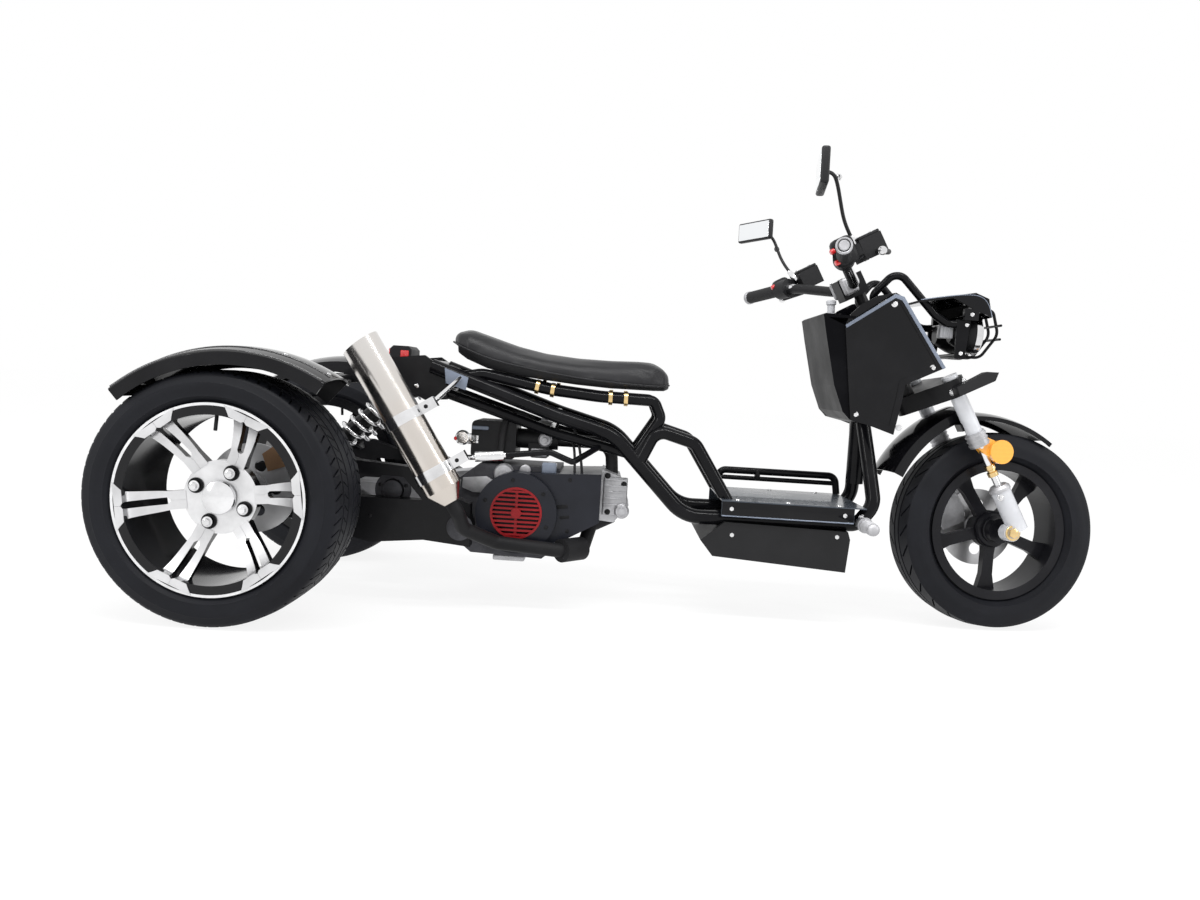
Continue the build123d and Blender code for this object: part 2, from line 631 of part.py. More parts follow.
for y in (-lamp_y, 0, lamp_y):
    wires += tube([(1640, y, 762), (1668, y, 762), (1684, y, 706), (1646, y, 650), (1583, y, 650)], 3.5,
                  [14, 30, 24])
for z in (726, 694):
    wires += disc(1678, z, 3, -lamp_y - 30, lamp_y + 30)
parts["lamp_guard"] = wires - guards - visor

# Steered parts, drawn in the fork's own frame: x ahead of the steering axis, y to the left, z up along it
leg_top = 637
crown_low, crown_high = 586, 628
slider_top = 346
slider_low = 237
slider_radius = 22.5
upper_radius = 18.4
collar_low, collar_high = 457, 491
rod_radius = 8


def leg_bar(low, high, radius):
    """Upright round bar on the right-hand leg's line."""
    return bar((fork_offset, -fork_half_width, low), (fork_offset, -fork_half_width, high), radius)


steering = {}
crown_plan = make_hull((Circle(32) + Pos(fork_offset, -fork_half_width) * Circle(27)
                        + Pos(fork_offset, fork_half_width) * Circle(27)).edges())
crown = Pos(0, 0, crown_low) * extrude(crown_plan, crown_high - crown_low)
stem_top = 905
stem = Pos(0, 0, crown_low) * Cylinder(stem_radius, stem_top - crown_low, align=(MID, MID, MIN))
race = Pos(0, 0, crown_high) * Cylinder(22, head_tube_bottom - running_gap - crown_high, align=(MID, MID, MIN))
nut = Pos(0, 0, head_tube_top + running_gap) * Cylinder(21, 16, align=(MID, MID, MIN))
bar_x, bar_z, bar_radius = -28, 925, 11
clamp = Pos(-14, 0, 895) * Box(64, 44, 52, align=(MID, MID, MIN))
upper_legs = both(leg_bar(collar_high, leg_top, upper_radius))
bar_points = [(-135, -350, 1006), (-82, -196, 984), (bar_x, -72, bar_z), (bar_x, 72, bar_z), (-82, 196, 984),
              (-135, 350, 1006)]
handlebar = tube(bar_points, bar_radius, [60, 50, 50, 60])
steering["fork_crown"] = (crown + stem + race + nut + clamp) - upper_legs - handlebar
steering["fork_upper_tubes"] = upper_legs
steering["fork_collars"] = both(leg_bar(collar_low, collar_high, slider_radius))
steering["fork_rods"] = both(leg_bar(slider_top, collar_low, rod_radius))
slider = leg_bar(slider_low, slider_top, slider_radius)
slider += bar((hub_x, -fork_half_width - 12, hub_z), (hub_x, 16 - fork_half_width, hub_z), 20)
axle_pin_end = fork_half_width + 18
axle_pin = bar((hub_x, -axle_pin_end, hub_z), (hub_x, axle_pin_end, hub_z), front_axle_radius)
axle_nuts = both(bar((hub_x, -axle_pin_end, hub_z), (hub_x, -fork_half_width - 12, hub_z), 13))
steering["fork_sliders"] = both(slider) - axle_pin - axle_nuts
steering["front_axle"] = axle_pin + axle_nuts
front_disc_y = 63
front_brake_radius = 95
front_windows = 6
front_disc = disc(hub_x, hub_z, front_brake_radius, front_disc_y - 2, front_disc_y + 2)
front_disc -= disc(hub_x, hub_z, 20, 50, 80)
for turn in range(front_windows):
    angle = radians(turn * 360 / front_windows)
    front_disc -= disc(hub_x + 55 * cos(angle), hub_z + 55 * sin(angle), 15, 50, 80)
front_disc += disc(hub_x, hub_z, 30, front_hub_half, front_disc_y - 2) - disc(
    hub_x, hub_z, front_axle_radius + running_gap, 50, 70)
caliper = slab([(8, 362), (40, 352), (44, 300), (30, 268), (-30, 272), (-26, 330)], 54, 74)
caliper += slab([(8, 362), (76, 345), (76, 290), (40, 300)], 67.5, 90)
caliper -= disc(hub_x, hub_z, front_brake_radius + pad_gap, front_disc_y - pad_gap, front_disc_y + pad_gap)
caliper -= both(slider)
steering["front_caliper"] = caliper

mudguard_half = 68
mud_sheet = 2.5


def guard_strip(centre_x, centre_z, radius, first, last, skirt, sheet):
    """Strip over the front tyre: crowned top with a skirt on each side, turned from one angle to another."""
    edge = radius - skirt
    top = radius - 12
    side = mudguard_half
    inner = side - sheet
    section = outline(
        (edge, -side), ((top, -side),), ((radius, 0), (top, side)), ((edge, side),), ((edge, inner),),
        ((top - sheet, inner),), ((radius - sheet, 0), (top - sheet, -inner)), ((edge, -inner),))
    strip = revolve(section, Axis.Y, revolution_arc=last - first)
    return Pos(centre_x, 0, centre_z) * Rot(0, -last, 0) * strip


front_part = guard_strip(-6, 254, 300, 25, 80, 22, mud_sheet)
rear_part = guard_strip(hub_x, hub_z, 318, 84, 127, 36, mud_sheet)
stay = both(block((52, -fork_half_width, 504), (92, 0.5 - mudguard_half, 522)))
mudguard = front_part + rear_part + stay - upper_legs
steering["front_fender"] = mudguard

grip_end = (-135, -350, 1006)
grip_start = (-94, -232, 989.1)
bar_run = (Vector(*grip_end) - Vector(-82, -196, 984)).normalized()
grip_outer = Vector(*grip_end) + bar_run * 6
grip = bar(tuple(Vector(*grip_end) - bar_run * 122), tuple(grip_outer), 16)
grip += bar(tuple(grip_outer), tuple(grip_outer + bar_run * 12), 13)
steering["handlebar"] = handlebar
steering["grips"] = both(grip) - handlebar


def on_bar(distance):
    """Place on the right-hand end of the handlebar, its Z along the bar towards the end."""
    return Plane(origin=tuple(Vector(*grip_end) - bar_run * distance), x_dir=(1, 0, 0), z_dir=bar_run)


switch = on_bar(124) * (Pos(0, 0, -20) * Cylinder(24, 40)) + on_bar(124) * (Pos(24, 0, -20) * Box(34, 26, 26))
lever_pivot = Vector(-74, -205, 985)
lever = tube([(-50, -196, 978), (-22, -215, 974), (-20, -280, 958), (-62, -345, 966)], 6, [16, 30])
reservoir = Pos(-24, -205, 985) * Box(54, 60, 46)
controls = switch + lever + reservoir
controls = both(controls) - handlebar - both(grip)
steering["brake_controls"] = controls

mirror_right = tube([(-52, -212, 1000), (-58, -222, 1062), (-50, -268, 1150), (-82, -288, 1164)], 4, [20, 10])
head_right = Pos(-84, -290, 1168) * Rot(0, rake, 0) * Rot(0, 0, -14) * Box(18, 112, 76)
steering["mirror_right"] = mirror_right + head_right - controls
mirror_left = tube([(-50, 212, 1000), (-60, 232, 1042), (-44, 256, 1128), (-78, 259, 1156)], 4, [20, 6])
head_left = Pos(-80, 258, 1158) * Rot(0, rake, 0) * Rot(0, 0, 33) * Box(16, 112, 52)
steering["mirror_left"] = mirror_left + head_left - controls

winker = cone((70, -fork_half_width - 8, 603), (72, -fork_half_width - 34, 603), 9, 7)
winker += Pos(0, -fork_half_width - 34, 0) * slab([(58, 590), (150, 586), (166, 600), (140, 614), (60, 612)], -14, 10)
steering["winkers"] = both(winker) - crown
reflector = bar((108, -fork_half_width - 12, 425), (108, -fork_half_width - 22, 425), 28)
reflector += slab([(60, 468), (96, 468), (120, 440), (116, 400), (96, 400), (70, 440)],
                  -fork_half_width - 12, 9 - fork_half_width)
steering["reflectors"] = both(reflector) - steering["fork_collars"] - steering["fork_rods"]

steering["front_rim"] = hub_place * front_rim()
steering["front_tyre"] = front_tyre
steering["front_brake_disc"] = front_disc
for name, piece in steering.items():
    parts[name] = steered * piece

os.makedirs("parts", exist_ok=True)
whole = Compound(children=[Compound(piece.solids()) for piece in parts.values()]).bounding_box()
shift = Pos(-(whole.min.X + whole.max.X) / 2, 0, -whole.min.Z)
for name, piece in parts.items():
    solids = (shift * piece).solids()
    export_step(Compound(solids), f"parts/{name}.step")
print("shift", shift.position, "box", whole.size)
print("head tube", (steered * Pos(0, 0, head_tube_bottom)).position, (steered * Pos(0, 0, head_tube_top)).position)
print("front hub", (steered * Pos(hub_x, 0, hub_z)).position)
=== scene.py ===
"""The looks of a motor trike: tyres, wheels, seat, springs, engine details, finishes, floor, lights and camera."""

import json
from contextlib import contextmanager
from math import cos, pi, radians, sin

import bpy
from mathutils import Euler, Matrix, Vector


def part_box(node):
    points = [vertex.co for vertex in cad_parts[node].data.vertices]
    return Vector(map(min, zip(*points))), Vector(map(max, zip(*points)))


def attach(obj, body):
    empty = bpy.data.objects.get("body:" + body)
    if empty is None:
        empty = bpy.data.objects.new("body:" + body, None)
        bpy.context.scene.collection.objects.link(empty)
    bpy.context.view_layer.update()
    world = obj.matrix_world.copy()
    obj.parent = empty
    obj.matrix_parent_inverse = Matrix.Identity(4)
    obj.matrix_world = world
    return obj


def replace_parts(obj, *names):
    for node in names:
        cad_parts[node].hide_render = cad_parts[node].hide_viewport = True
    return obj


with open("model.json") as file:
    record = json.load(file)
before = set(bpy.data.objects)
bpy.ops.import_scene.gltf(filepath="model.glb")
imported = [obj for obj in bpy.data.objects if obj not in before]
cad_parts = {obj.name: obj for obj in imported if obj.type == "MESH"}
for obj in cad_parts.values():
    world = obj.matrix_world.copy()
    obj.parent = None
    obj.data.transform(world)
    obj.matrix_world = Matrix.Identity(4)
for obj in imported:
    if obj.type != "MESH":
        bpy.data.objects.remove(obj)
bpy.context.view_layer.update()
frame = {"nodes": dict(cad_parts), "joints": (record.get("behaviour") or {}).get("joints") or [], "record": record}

bl_info = {
    "name": "Motor trike",
    "version": (1, 0, 0),
    "blender": (4, 5, 0),
    "location": "View3D > Sidebar > Trike",
    "description": "Dresses the frame of a motor trike and sets its stage",
    "category": "Object",
}

NODES = frame["nodes"]
JOINTS = {joint["name"]: joint for joint in frame["joints"]}
MM = 0.001


def middle(node):
    """Centre of a node's box."""
    low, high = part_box(node)
    return (low + high) / 2


AXLE = middle("rear_axle_shaft")
AXLE_HEIGHT = 260
REAR_HALF_TRACK = 0.376
FENDER_X, FENDER_Z = 39, 197
RAKE = radians(28.7)
STORED_TURN = radians(8)
HEAD_TUBE_FOOT = 650
PIVOT = Vector(JOINTS["steering_hinge"]["pos_m"])
PIVOT_AXIS = Vector(JOINTS["steering_hinge"]["axis"])
HUB = Vector(JOINTS["front_wheel_spin"]["pos_m"])
HUB_LOCAL = (54.8, 0, 239.6)


def at(x, y, z):
    """A point from millimetres ahead of the rear axle, left of the middle and above the floor."""
    return Vector((AXLE.x + x * MM, y * MM, AXLE.z + (z - AXLE_HEIGHT) * MM))


AHEAD, RIGHT, UP = (1, 0, 0), (0, -1, 0), (0, 0, 1)
FORK = (Matrix.Translation(PIVOT - PIVOT_AXIS * HEAD_TUBE_FOOT * MM) @ Matrix.Rotation(-RAKE, 4, "Y")
        @ Matrix.Rotation(STORED_TURN, 4, "Z"))


FORK_TURN = FORK.to_3x3()
FORK_ACROSS = FORK_TURN @ Vector((0, 1, 0))


def fork(x, y, z):
    """A point from millimetres ahead of the steering axis, left of the fork's middle and up along the axis."""
    return FORK @ Vector((x * MM, y * MM, z * MM))


def wheel_centre(side):
    """Middle of a rear wheel, the right one for -1 and the left one for 1."""
    return Vector((AXLE.x, side * REAR_HALF_TRACK, AXLE.z))


def over_wheel(radius, y, degrees):
    """Millimetres of a point about the centre of a rear fender's arc, at an angle up from straight ahead."""
    return FENDER_X + radius * cos(radians(degrees)), y, FENDER_Z + radius * sin(radians(degrees))


# Sums on sockets

class Field:
    """A number socket that takes part in sums."""

    def __init__(self, finish, socket):
        self.finish = finish
        self.socket = socket

    def sum(self, operation, first, second=None):
        values = {0: first} if second is None else {0: first, 1: second}
        return self.finish.node("ShaderNodeMath", {"operation": operation}, values)[0]

    def __add__(self, other):
        return self.sum("ADD", self, other)

    def __radd__(self, other):
        return self.sum("ADD", other, self)

    def __sub__(self, other):
        return self.sum("SUBTRACT", self, other)

    def __rsub__(self, other):
        return self.sum("SUBTRACT", other, self)

    def __mul__(self, other):
        return self.sum("MULTIPLY", self, other)

    def __abs__(self):
        return self.sum("ABSOLUTE", self)

    def most(self, other):
        return self.sum("MAXIMUM", self, other)

    def above(self, edge):
        return self.sum("GREATER_THAN", self, edge)

    def wave(self, pitch):
        """Sine of the value, one turn in each pitch."""
        return self.sum("SINE", self * (2 * pi / pitch))


class Outputs:
    """The outputs of a node, by number or name, as fields."""

    def __init__(self, finish, node):
        self.finish = finish
        self.made = node

    def __getitem__(self, key):
        return Field(self.finish, self.made.outputs[key])


class Finish:
    """One material, or the world, built from nodes."""

    def __init__(self, name, owner=None):
        self.material = owner or bpy.data.materials.new(name)
        self.material.use_nodes = True
        self.tree = self.material.node_tree
        self.tree.nodes.clear()

    def node(self, kind, settings=None, sockets=None):
        """Adds a node, sets it, then fills or links its sockets."""
        made = self.tree.nodes.new(kind)
        for name, value in (settings or {}).items():
            setattr(made, name, value)
        for name, value in (sockets or {}).items():
            if isinstance(value, Field):
                self.tree.links.new(value.socket, made.inputs[name])
            else:
                made.inputs[name].default_value = value
        return Outputs(self, made)

    def place(self):
        return self.node("ShaderNodeTexCoord")["Object"]

    def parts(self, vector):
        """The three parts of a vector as fields."""
        split = self.node("ShaderNodeSeparateXYZ", None, {0: vector})
        return split[0], split[1], split[2]

    def noise(self, scale, detail=3, roughness=0.55):
        sockets = {"Vector": self.place(), "Scale": scale, "Detail": detail, "Roughness": roughness}
        return self.node("ShaderNodeTexNoise", None, sockets)["Fac"]

    def range(self, value, low, high, start, end):
        """Maps a value from one range to another and holds it there."""
        sockets = {"Value": value, "From Min": low, "From Max": high, "To Min": start, "To Max": end}
        return self.node("ShaderNodeMapRange", None, sockets)["Result"]

    def blend(self, factor, first, second):
        """Colour between two colours, each one plain or a field."""
        sockets = {0: factor, 6: colour(first), 7: colour(second)}
        return self.node("ShaderNodeMix", {"data_type": "RGBA"}, sockets)[2]

    def drift(self, cloud, low, high, tint, gain, lift=0.0):
        """Tint that turns lighter or darker where a cloud rises from low to high."""
        return self.blend(self.range(cloud, low, high, 0, 1), tint, tuple(gain * part + lift for part in tint))

    def bump(self, height, strength=0.3, distance=0.001):
        sockets = {"Height": height, "Strength": strength, "Distance": distance}
        return self.node("ShaderNodeBump", None, sockets)["Normal"]

    def surface(self, **sockets):
        """The closing shader. Names are the shader's own with underscores for spaces."""
        values = {name.replace("_", " "): colour(value) for name, value in sockets.items()}
        shader = self.node("ShaderNodeBsdfPrincipled", None, values)
        self.node("ShaderNodeOutputMaterial", None, {"Surface": shader["BSDF"]})
        return self.material


def seen_plainly(f):
    """One where the eye meets the backdrop directly, in a mirror or through glass."""
    path = f.node("ShaderNodeLightPath")
    return path["Is Camera Ray"].most(path["Is Glossy Ray"]).most(path["Is Transmission Ray"])


def grey(level):
    return (level, level, level, 1)


def colour(value):
    """A colour with its alpha, or the value as it is."""
    if isinstance(value, tuple) and len(value) == 3:
        return (*value, 1)
    return value


# Finishes

def painted(name, tint, rough=0.12, coat=0.05, grain=0.12, shine=0.12):
    """Paint with faint orange peel, soft dust and small changes of gloss."""
    f = Finish(name)
    dust = f.noise(9, 5, 0.6)
    peel = f.noise(420, 2)
    base = f.drift(dust, 0.45, 0.8, tint, 1.4, 0.004)
    return f.surface(Base_Color=base, Roughness=f.range(dust, 0.3, 0.75, rough, rough + 0.16), Coat_Weight=coat,
                     Coat_Roughness=0.05, Specular_IOR_Level=shine, Normal=f.bump(peel, grain, 0.0004))


def metal(name, tint, rough=0.25, grain=0.12, scale=60):
    """Bare metal with faint cloudy tarnish and fine scratches."""
    f = Finish(name)
    cloud = f.noise(14, 4)
    scratch = f.noise(scale * 12, 2, 0.7)
    base = f.drift(cloud, 0.35, 0.75, tint, 0.72)
    return f.surface(Base_Color=base, Metallic=1.0, Roughness=f.range(cloud, 0.3, 0.75, rough, rough + 0.14),
                     Normal=f.bump(scratch, grain, 0.0003))


def cast_metal(name, tint, rough=0.42):
    """Sand-cast alloy: coarse grain, darker in random clouds."""
    f = Finish(name)
    grain = f.noise(260, 4, 0.7)
    cloud = f.noise(22, 4)
    base = f.drift(cloud, 0.3, 0.7, tint, 0.6)
    return f.surface(Base_Color=base, Metallic=0.85, Roughness=f.range(grain, 0.3, 0.7, rough, rough + 0.2),
                     Normal=f.bump(grain, 0.45, 0.0008))


def plastic(name, tint, rough=0.45, grain=0.3, scale=500):
    """Moulded plastic with a fine grain."""
    f = Finish(name)
    fine = f.noise(scale, 2, 0.6)
    cloud = f.noise(12, 3)
    base = f.drift(cloud, 0.35, 0.75, tint, 1.35, 0.003)
    return f.surface(Base_Color=base, Roughness=f.range(cloud, 0.3, 0.7, rough, rough + 0.12),
                     Specular_IOR_Level=0.3, Normal=f.bump(fine, grain, 0.0004))


def rubber(name, tint, rough=0.62):
    """Tyre rubber: dull, with a bluish bloom and fine mould grain."""
    f = Finish(name)
    cloud = f.noise(7, 5, 0.6)
    fine = f.noise(700, 2)
    base = f.drift(cloud, 0.4, 0.75, tint, 1.7, 0.003)
    return f.surface(Base_Color=base, Roughness=f.range(cloud, 0.3, 0.8, rough - 0.12, rough + 0.1),
                     Normal=f.bump(fine, 0.25, 0.0003), Specular_IOR_Level=0.2)


def machined_wheel(name, paint, face):
    """Black alloy wheel, its outward faces turned bright inside the spokes' tips and at the lip's rim."""
    spokes_from, spokes_to, lip_from = 0.36, 0.166, 0.1895
    f = Finish(name)
    coords = f.node("ShaderNodeTexCoord")
    x, y, z = f.parts(coords["Object"])
    facing = f.parts(coords["Normal"])[1]
    side = y.sum("SIGN", y)
    outward = (facing * side).above(0.42)
    dx, dz = x - AXLE.x, z - AXLE.z
    radius = (dx * dx + dz * dz).sum("SQRT", dx * dx + dz * dz)
    spokes = (abs(y) - spokes_from).above(0) * (1 - radius.above(spokes_to)) + radius.above(lip_from)
    bright = outward * spokes.sum("MINIMUM", spokes, 1)
    rings = radius.wave(0.0011)
    tone = f.noise(30, 3)
    shade = f.drift(tone, 0.3, 0.7, face, 0.82)
    base = f.blend(bright, paint, shade)
    return f.surface(Base_Color=base, Metallic=bright * 0.6, Roughness=0.14 + bright * 0.22, Specular_IOR_Level=0.3,
                     Normal=f.bump(rings * bright, 0.05, 0.0002))


def vinyl(name, tint):
    """Seat vinyl: a pebbled grain and a soft sheen."""
    f = Finish(name)
    pebble = f.node("ShaderNodeTexVoronoi", {"feature": "SMOOTH_F1"}, {"Vector": f.place(), "Scale": 520})["Distance"]
    wear = f.noise(16, 4)
    base = f.drift(wear, 0.4, 0.75, tint, 1.5, 0.004)
    return f.surface(Base_Color=base, Roughness=f.range(wear, 0.3, 0.7, 0.36, 0.5), Sheen_Weight=0.08,
                     Specular_IOR_Level=0.3, Normal=f.bump(pebble, 0.35, 0.0004))


def stainless(name, tint, axis_start, axis_end):
    """Polished tube with fine rings across its length and a painted brownish reflection that grows along its first
    0.36 metres.
    """
    f = Finish(name)
    x, y, z = f.parts(f.place())
    run = (axis_end - axis_start).normalized()
    along = (x - axis_start.x) * run.x + (y - axis_start.y) * run.y + (z - axis_start.z) * run.z
    cloud = f.noise(10, 4)
    # Painted brownish reflection, growing along the tube from its start, mixed below with random clouds.
    painted_brown_reflection = f.range(along, 0, 0.36, 0, 1)
    base = f.blend(painted_brown_reflection * 0.35 + cloud * 0.3, tint, (0.62, 0.52, 0.42))
    fine = along.wave(0.0016)
    return f.surface(Base_Color=base, Metallic=1.0, Roughness=f.range(cloud, 0.3, 0.7, 0.14, 0.26),
                     Normal=f.bump(fine, 0.06, 0.0002))


def lens(name, tint, pitch=0.006):
    """Moulded lens with a fine grid of prisms behind a clear face."""
    f = Finish(name)
    x, y, z = f.parts(f.place())
    prisms = (x + z).wave(pitch) * (x - z + y).wave(pitch)
    depth = f.range(prisms, -1, 1, 0, 1)
    base = f.blend(depth, tint, tuple(min(1, 1.5 * part + 0.02) for part in tint))
    return f.surface(Base_Color=base, Roughness=0.12, Coat_Weight=1.0, Coat_Roughness=0.03,
                     Normal=f.bump(depth, 0.3, 0.0006))


def clear_glass(name):
    """Lamp glass with upright flutes over a bright bowl."""
    f = Finish(name)
    flutes = f.parts(f.place())[1].wave(0.009)
    tone = f.noise(12, 2)
    base = f.blend(tone, (0.75, 0.78, 0.82), (0.92, 0.94, 0.96))
    return f.surface(Base_Color=base, Roughness=0.05, Metallic=0.5, Coat_Weight=1.0,
                     Normal=f.bump(flutes, 0.25, 0.001))


def mirror_face(name):
    """Silvered glass with the faintest haze."""
    f = Finish(name)
    haze = f.noise(20, 3)
    base = f.blend(haze, (0.86, 0.88, 0.9), (0.93, 0.94, 0.95))
    return f.surface(Base_Color=base, Metallic=1.0, Roughness=f.range(haze, 0.3, 0.7, 0.02, 0.06))


MUFFLER_START, MUFFLER_END = at(233, -258, 593), at(430, -258, 287)
FINISHES = {}


def make_finishes():
    """Every finish by the record's slot or by its own name."""
    tints = {name: tuple(getattr(bpy.context.scene.trike_colours, name)) for name in Colours.__annotations__}
    FINISHES.update({
        "frame_black": painted("gloss_black_frame", tints["frame"], 0.08),
        "satin_black": painted("satin_black_paint", (0.005, 0.005, 0.006), 0.34, 0.05, 0.3, 0.2),
        "deck_blue": painted("deck_sheet_paint", tints["deck"], 0.2, 0.3),
        "trim_blue": painted("grey_blue_trim", tints["trim"], 0.18, 0.4),
        "gloss_panel": painted("gloss_black_panel", (0.003, 0.003, 0.004), 0.05, 0.25, 0.05),
        "shield_black": painted("dull_black_shield", (0.004, 0.004, 0.005), 0.3, 0.0, 0.1, 0.04),
        "bronze": metal("bronze_caliper", (0.36, 0.22, 0.13), 0.35),
        "rim_black": machined_wheel("machined_alloy_wheel", (0.005, 0.005, 0.006), (0.86, 0.86, 0.87)),
        "machined": metal("machined_face", tints["spokes"], 0.3, 0.05),
        "front_rim": painted("satin_black_wheel", (0.007, 0.007, 0.009), 0.28, 0.15, 0.2),
        "tyre": rubber("tyre_rubber", (0.005, 0.0055, 0.008)),
        "steel": metal("machined_steel", (0.56, 0.56, 0.57), 0.28),
        "chrome": metal("bright_chrome", (0.88, 0.88, 0.89), 0.05, 0.02),
        "silver": cast_metal("cast_alloy", (0.62, 0.62, 0.64)),
        "fork_silver": painted("silver_paint", tints["fork"], 0.25, 0.4, 0.2, 0.5),
        "cast": cast_metal("dark_cast_metal", (0.1, 0.1, 0.11), 0.5),
        "black_plastic": plastic("grained_black_plastic", (0.006, 0.006, 0.007)),
        "red_grille": plastic("red_moulding", tints["grille"], 0.35, 0.1),
        "cowl": plastic("blue_black_cowl", (0.006, 0.007, 0.012), 0.3, 0.15),
        "seat_cover": vinyl("black_vinyl", tints["seat"]),
        "grip_rubber": plastic("grip_rubber", (0.012, 0.012, 0.013), 0.6, 0.5, 300),
        "lens_red": lens("red_lens", (0.5, 0.006, 0.008)),
        "lens_amber": lens("amber_lens", (0.9, 0.33, 0.03)),
        "lens_clear": clear_glass("lamp_glass"),
        "mirror_glass": plastic("mirror_housing", (0.009, 0.009, 0.01), 0.4),
        "silvered": mirror_face("silvered_glass"),
        "bead_black": painted("bright_black_bead", (0.006, 0.006, 0.007), 0.12, 0.8, 0.05, 0.5),
        "header_black": painted("matt_heat_paint", (0.007, 0.007, 0.008), 0.5, 0.0, 0.5, 0.2),
        "muffler_steel": stainless("polished_stainless", (0.72, 0.71, 0.7), MUFFLER_START, MUFFLER_END),
        "brass": metal("plated_brass", (0.85, 0.62, 0.3), 0.15),
    })


# A CAD node's finish where it isn't its slot's own
NODE_FINISH = {"front_rim": "front_rim", "fork_sliders": "fork_silver", "seat_clamps": "brass",
               "winkers": "black_plastic", "muffler_bands": "chrome", "rear_sprocket": "steel",
               "cylinder_head": "silver", "rear_caliper": "bronze", "tail_lamp": "black_plastic",
               "fork_upper_tubes": "fork_silver", "fan_shroud": "cowl", "foot_pegs": "silver",
               "legshield_back": "shield_black"}


# Modelling helpers

def deselect():
    bpy.ops.object.select_all(action="DESELECT")


def only(piece):
    """Makes one piece the sole selected and active one."""
    deselect()
    piece.select_set(True)
    bpy.context.view_layer.objects.active = piece


def apply_modifiers(piece):
    only(piece)
    for entry in list(piece.modifiers):
        bpy.ops.object.modifier_apply(modifier=entry.name)


def modifier(piece, kind, **settings):
    made = piece.modifiers.new(kind.title(), kind)
    for name, value in settings.items():
        setattr(made, name, value)
    return made


def settle(piece):
    """Moves a piece's place into its mesh."""
    only(piece)
    bpy.ops.object.transform_apply(location=True, rotation=True, scale=True)


def smooth(piece, angle=35):
    only(piece)
    bpy.ops.object.shade_smooth_by_angle(angle=radians(angle))


@contextmanager
def editing(piece):
    """Edit mode on one piece, with all of it selected."""
    only(piece)
    bpy.ops.object.mode_set(mode="EDIT")
    bpy.ops.mesh.select_all(action="SELECT")
    yield
    bpy.ops.object.mode_set(mode="OBJECT")


def outward(piece):
    """Merges doubles and turns every face outwards."""
    with editing(piece):
        bpy.ops.mesh.remove_doubles(threshold=0.00002)
        bpy.ops.mesh.normals_make_consistent(inside=False)


def join(name, pieces):
    """One piece from several."""
    deselect()
    for piece in pieces:
        piece.select_set(True)
    bpy.context.view_layer.objects.active = pieces[0]
    if len(pieces) > 1:
        bpy.ops.object.join()
    made = bpy.context.view_layer.objects.active
    made.name = name
    return made


def dress(piece, name, body, finish, slot, replaced=(), angle=35):
    """Names a finished piece, gives it its finish and its body. The slot is not used."""
    piece.name = name
    piece.data.name = name
    settle(piece)
    smooth(piece, angle)
    piece.data.materials.clear()
    piece.data.materials.append(FINISHES[finish])
    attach(piece, body)
    if replaced:
        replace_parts(piece, *replaced)
    deselect()
    return piece


def group(name, pieces, body, finish, slot, replaced=(), angle=35):
    """Several pieces joined and dressed as one."""
    return dress(join(name, pieces), name, body, finish, slot, replaced, angle)


def turned_to(direction):
    """Turn that lays Z along a direction."""
    return Vector(direction).to_track_quat("Z", "Y").to_matrix().to_4x4()


def bevel(piece, width, angle, segments=2):
    """Rounds the edges sharper than an angle in degrees."""
    modifier(piece, "BEVEL", width=width, segments=segments, limit_method="ANGLE", angle_limit=radians(angle))
    apply_modifiers(piece)


def post(start, end, radius, sides=24, soft=0.0):
    """Round post between two points, with its ends bevelled."""
    run = end - start
    deselect()
    bpy.ops.mesh.primitive_cylinder_add(vertices=sides, radius=radius, depth=run.length)
    piece = bpy.context.object
    piece.matrix_world = Matrix.Translation((start + end) / 2) @ turned_to(run)
    settle(piece)
    if soft:
        bevel(piece, soft, 50)
    return piece


def bolt(place, direction, radius, height, washer=1.45):
    """Hexagon bolt head with soft edges, on a washer."""
    deselect()
    bpy.ops.mesh.primitive_cylinder_add(vertices=6, radius=radius, depth=height, location=(0, 0, height / 2))
    head = bpy.context.object
    modifier(head, "BEVEL", width=radius * 0.14, segments=2)
    apply_modifiers(head)
    deselect()
    bpy.ops.mesh.primitive_cylinder_add(vertices=18, radius=radius * washer, depth=height * 0.3,
                                        location=(0, 0, height * 0.12))
    disc = bpy.context.object
    modifier(disc, "BEVEL", width=height * 0.06, segments=1)
    apply_modifiers(disc)
    piece = join("bolt", [head, disc])
    piece.matrix_world = Matrix.Translation(place) @ turned_to(direction)
    settle(piece)
    return piece


def ribbon(edges, thickness):
    """Sheet between two chains of edges."""
    sheet = join("ribbon", edges)
    with editing(sheet):
        bpy.ops.mesh.bridge_edge_loops()
    modifier(sheet, "SOLIDIFY", thickness=thickness, offset=0)
    apply_modifiers(sheet)
    return sheet


def bolts(name, places, direction, radius, height, body, finish="chrome", slot="chrome"):
    """Like bolts joined as one piece. Places are points, or pairs of a point and a direction."""
    made = []
    for place in places:
        where, way = place if isinstance(place, tuple) else (place, direction)
        made.append(bolt(where, way, radius, height))
    return group(name, made, body, finish, slot)


def chain_of(points, closed=False):
    """Mesh of edges through points, extruded one after another."""
    deselect()
    bpy.ops.mesh.primitive_plane_add(size=0.01)
    piece = bpy.context.object
    with editing(piece):
        bpy.ops.mesh.merge(type="CENTER")
        bpy.ops.transform.translate(value=points[0])
        for before, after in zip(points, points[1:]):
            bpy.ops.mesh.extrude_region_move(TRANSFORM_OT_translate={"value": after - before})
        if closed:
            bpy.ops.mesh.select_all(action="SELECT")
            bpy.ops.mesh.edge_face_add()
    return piece


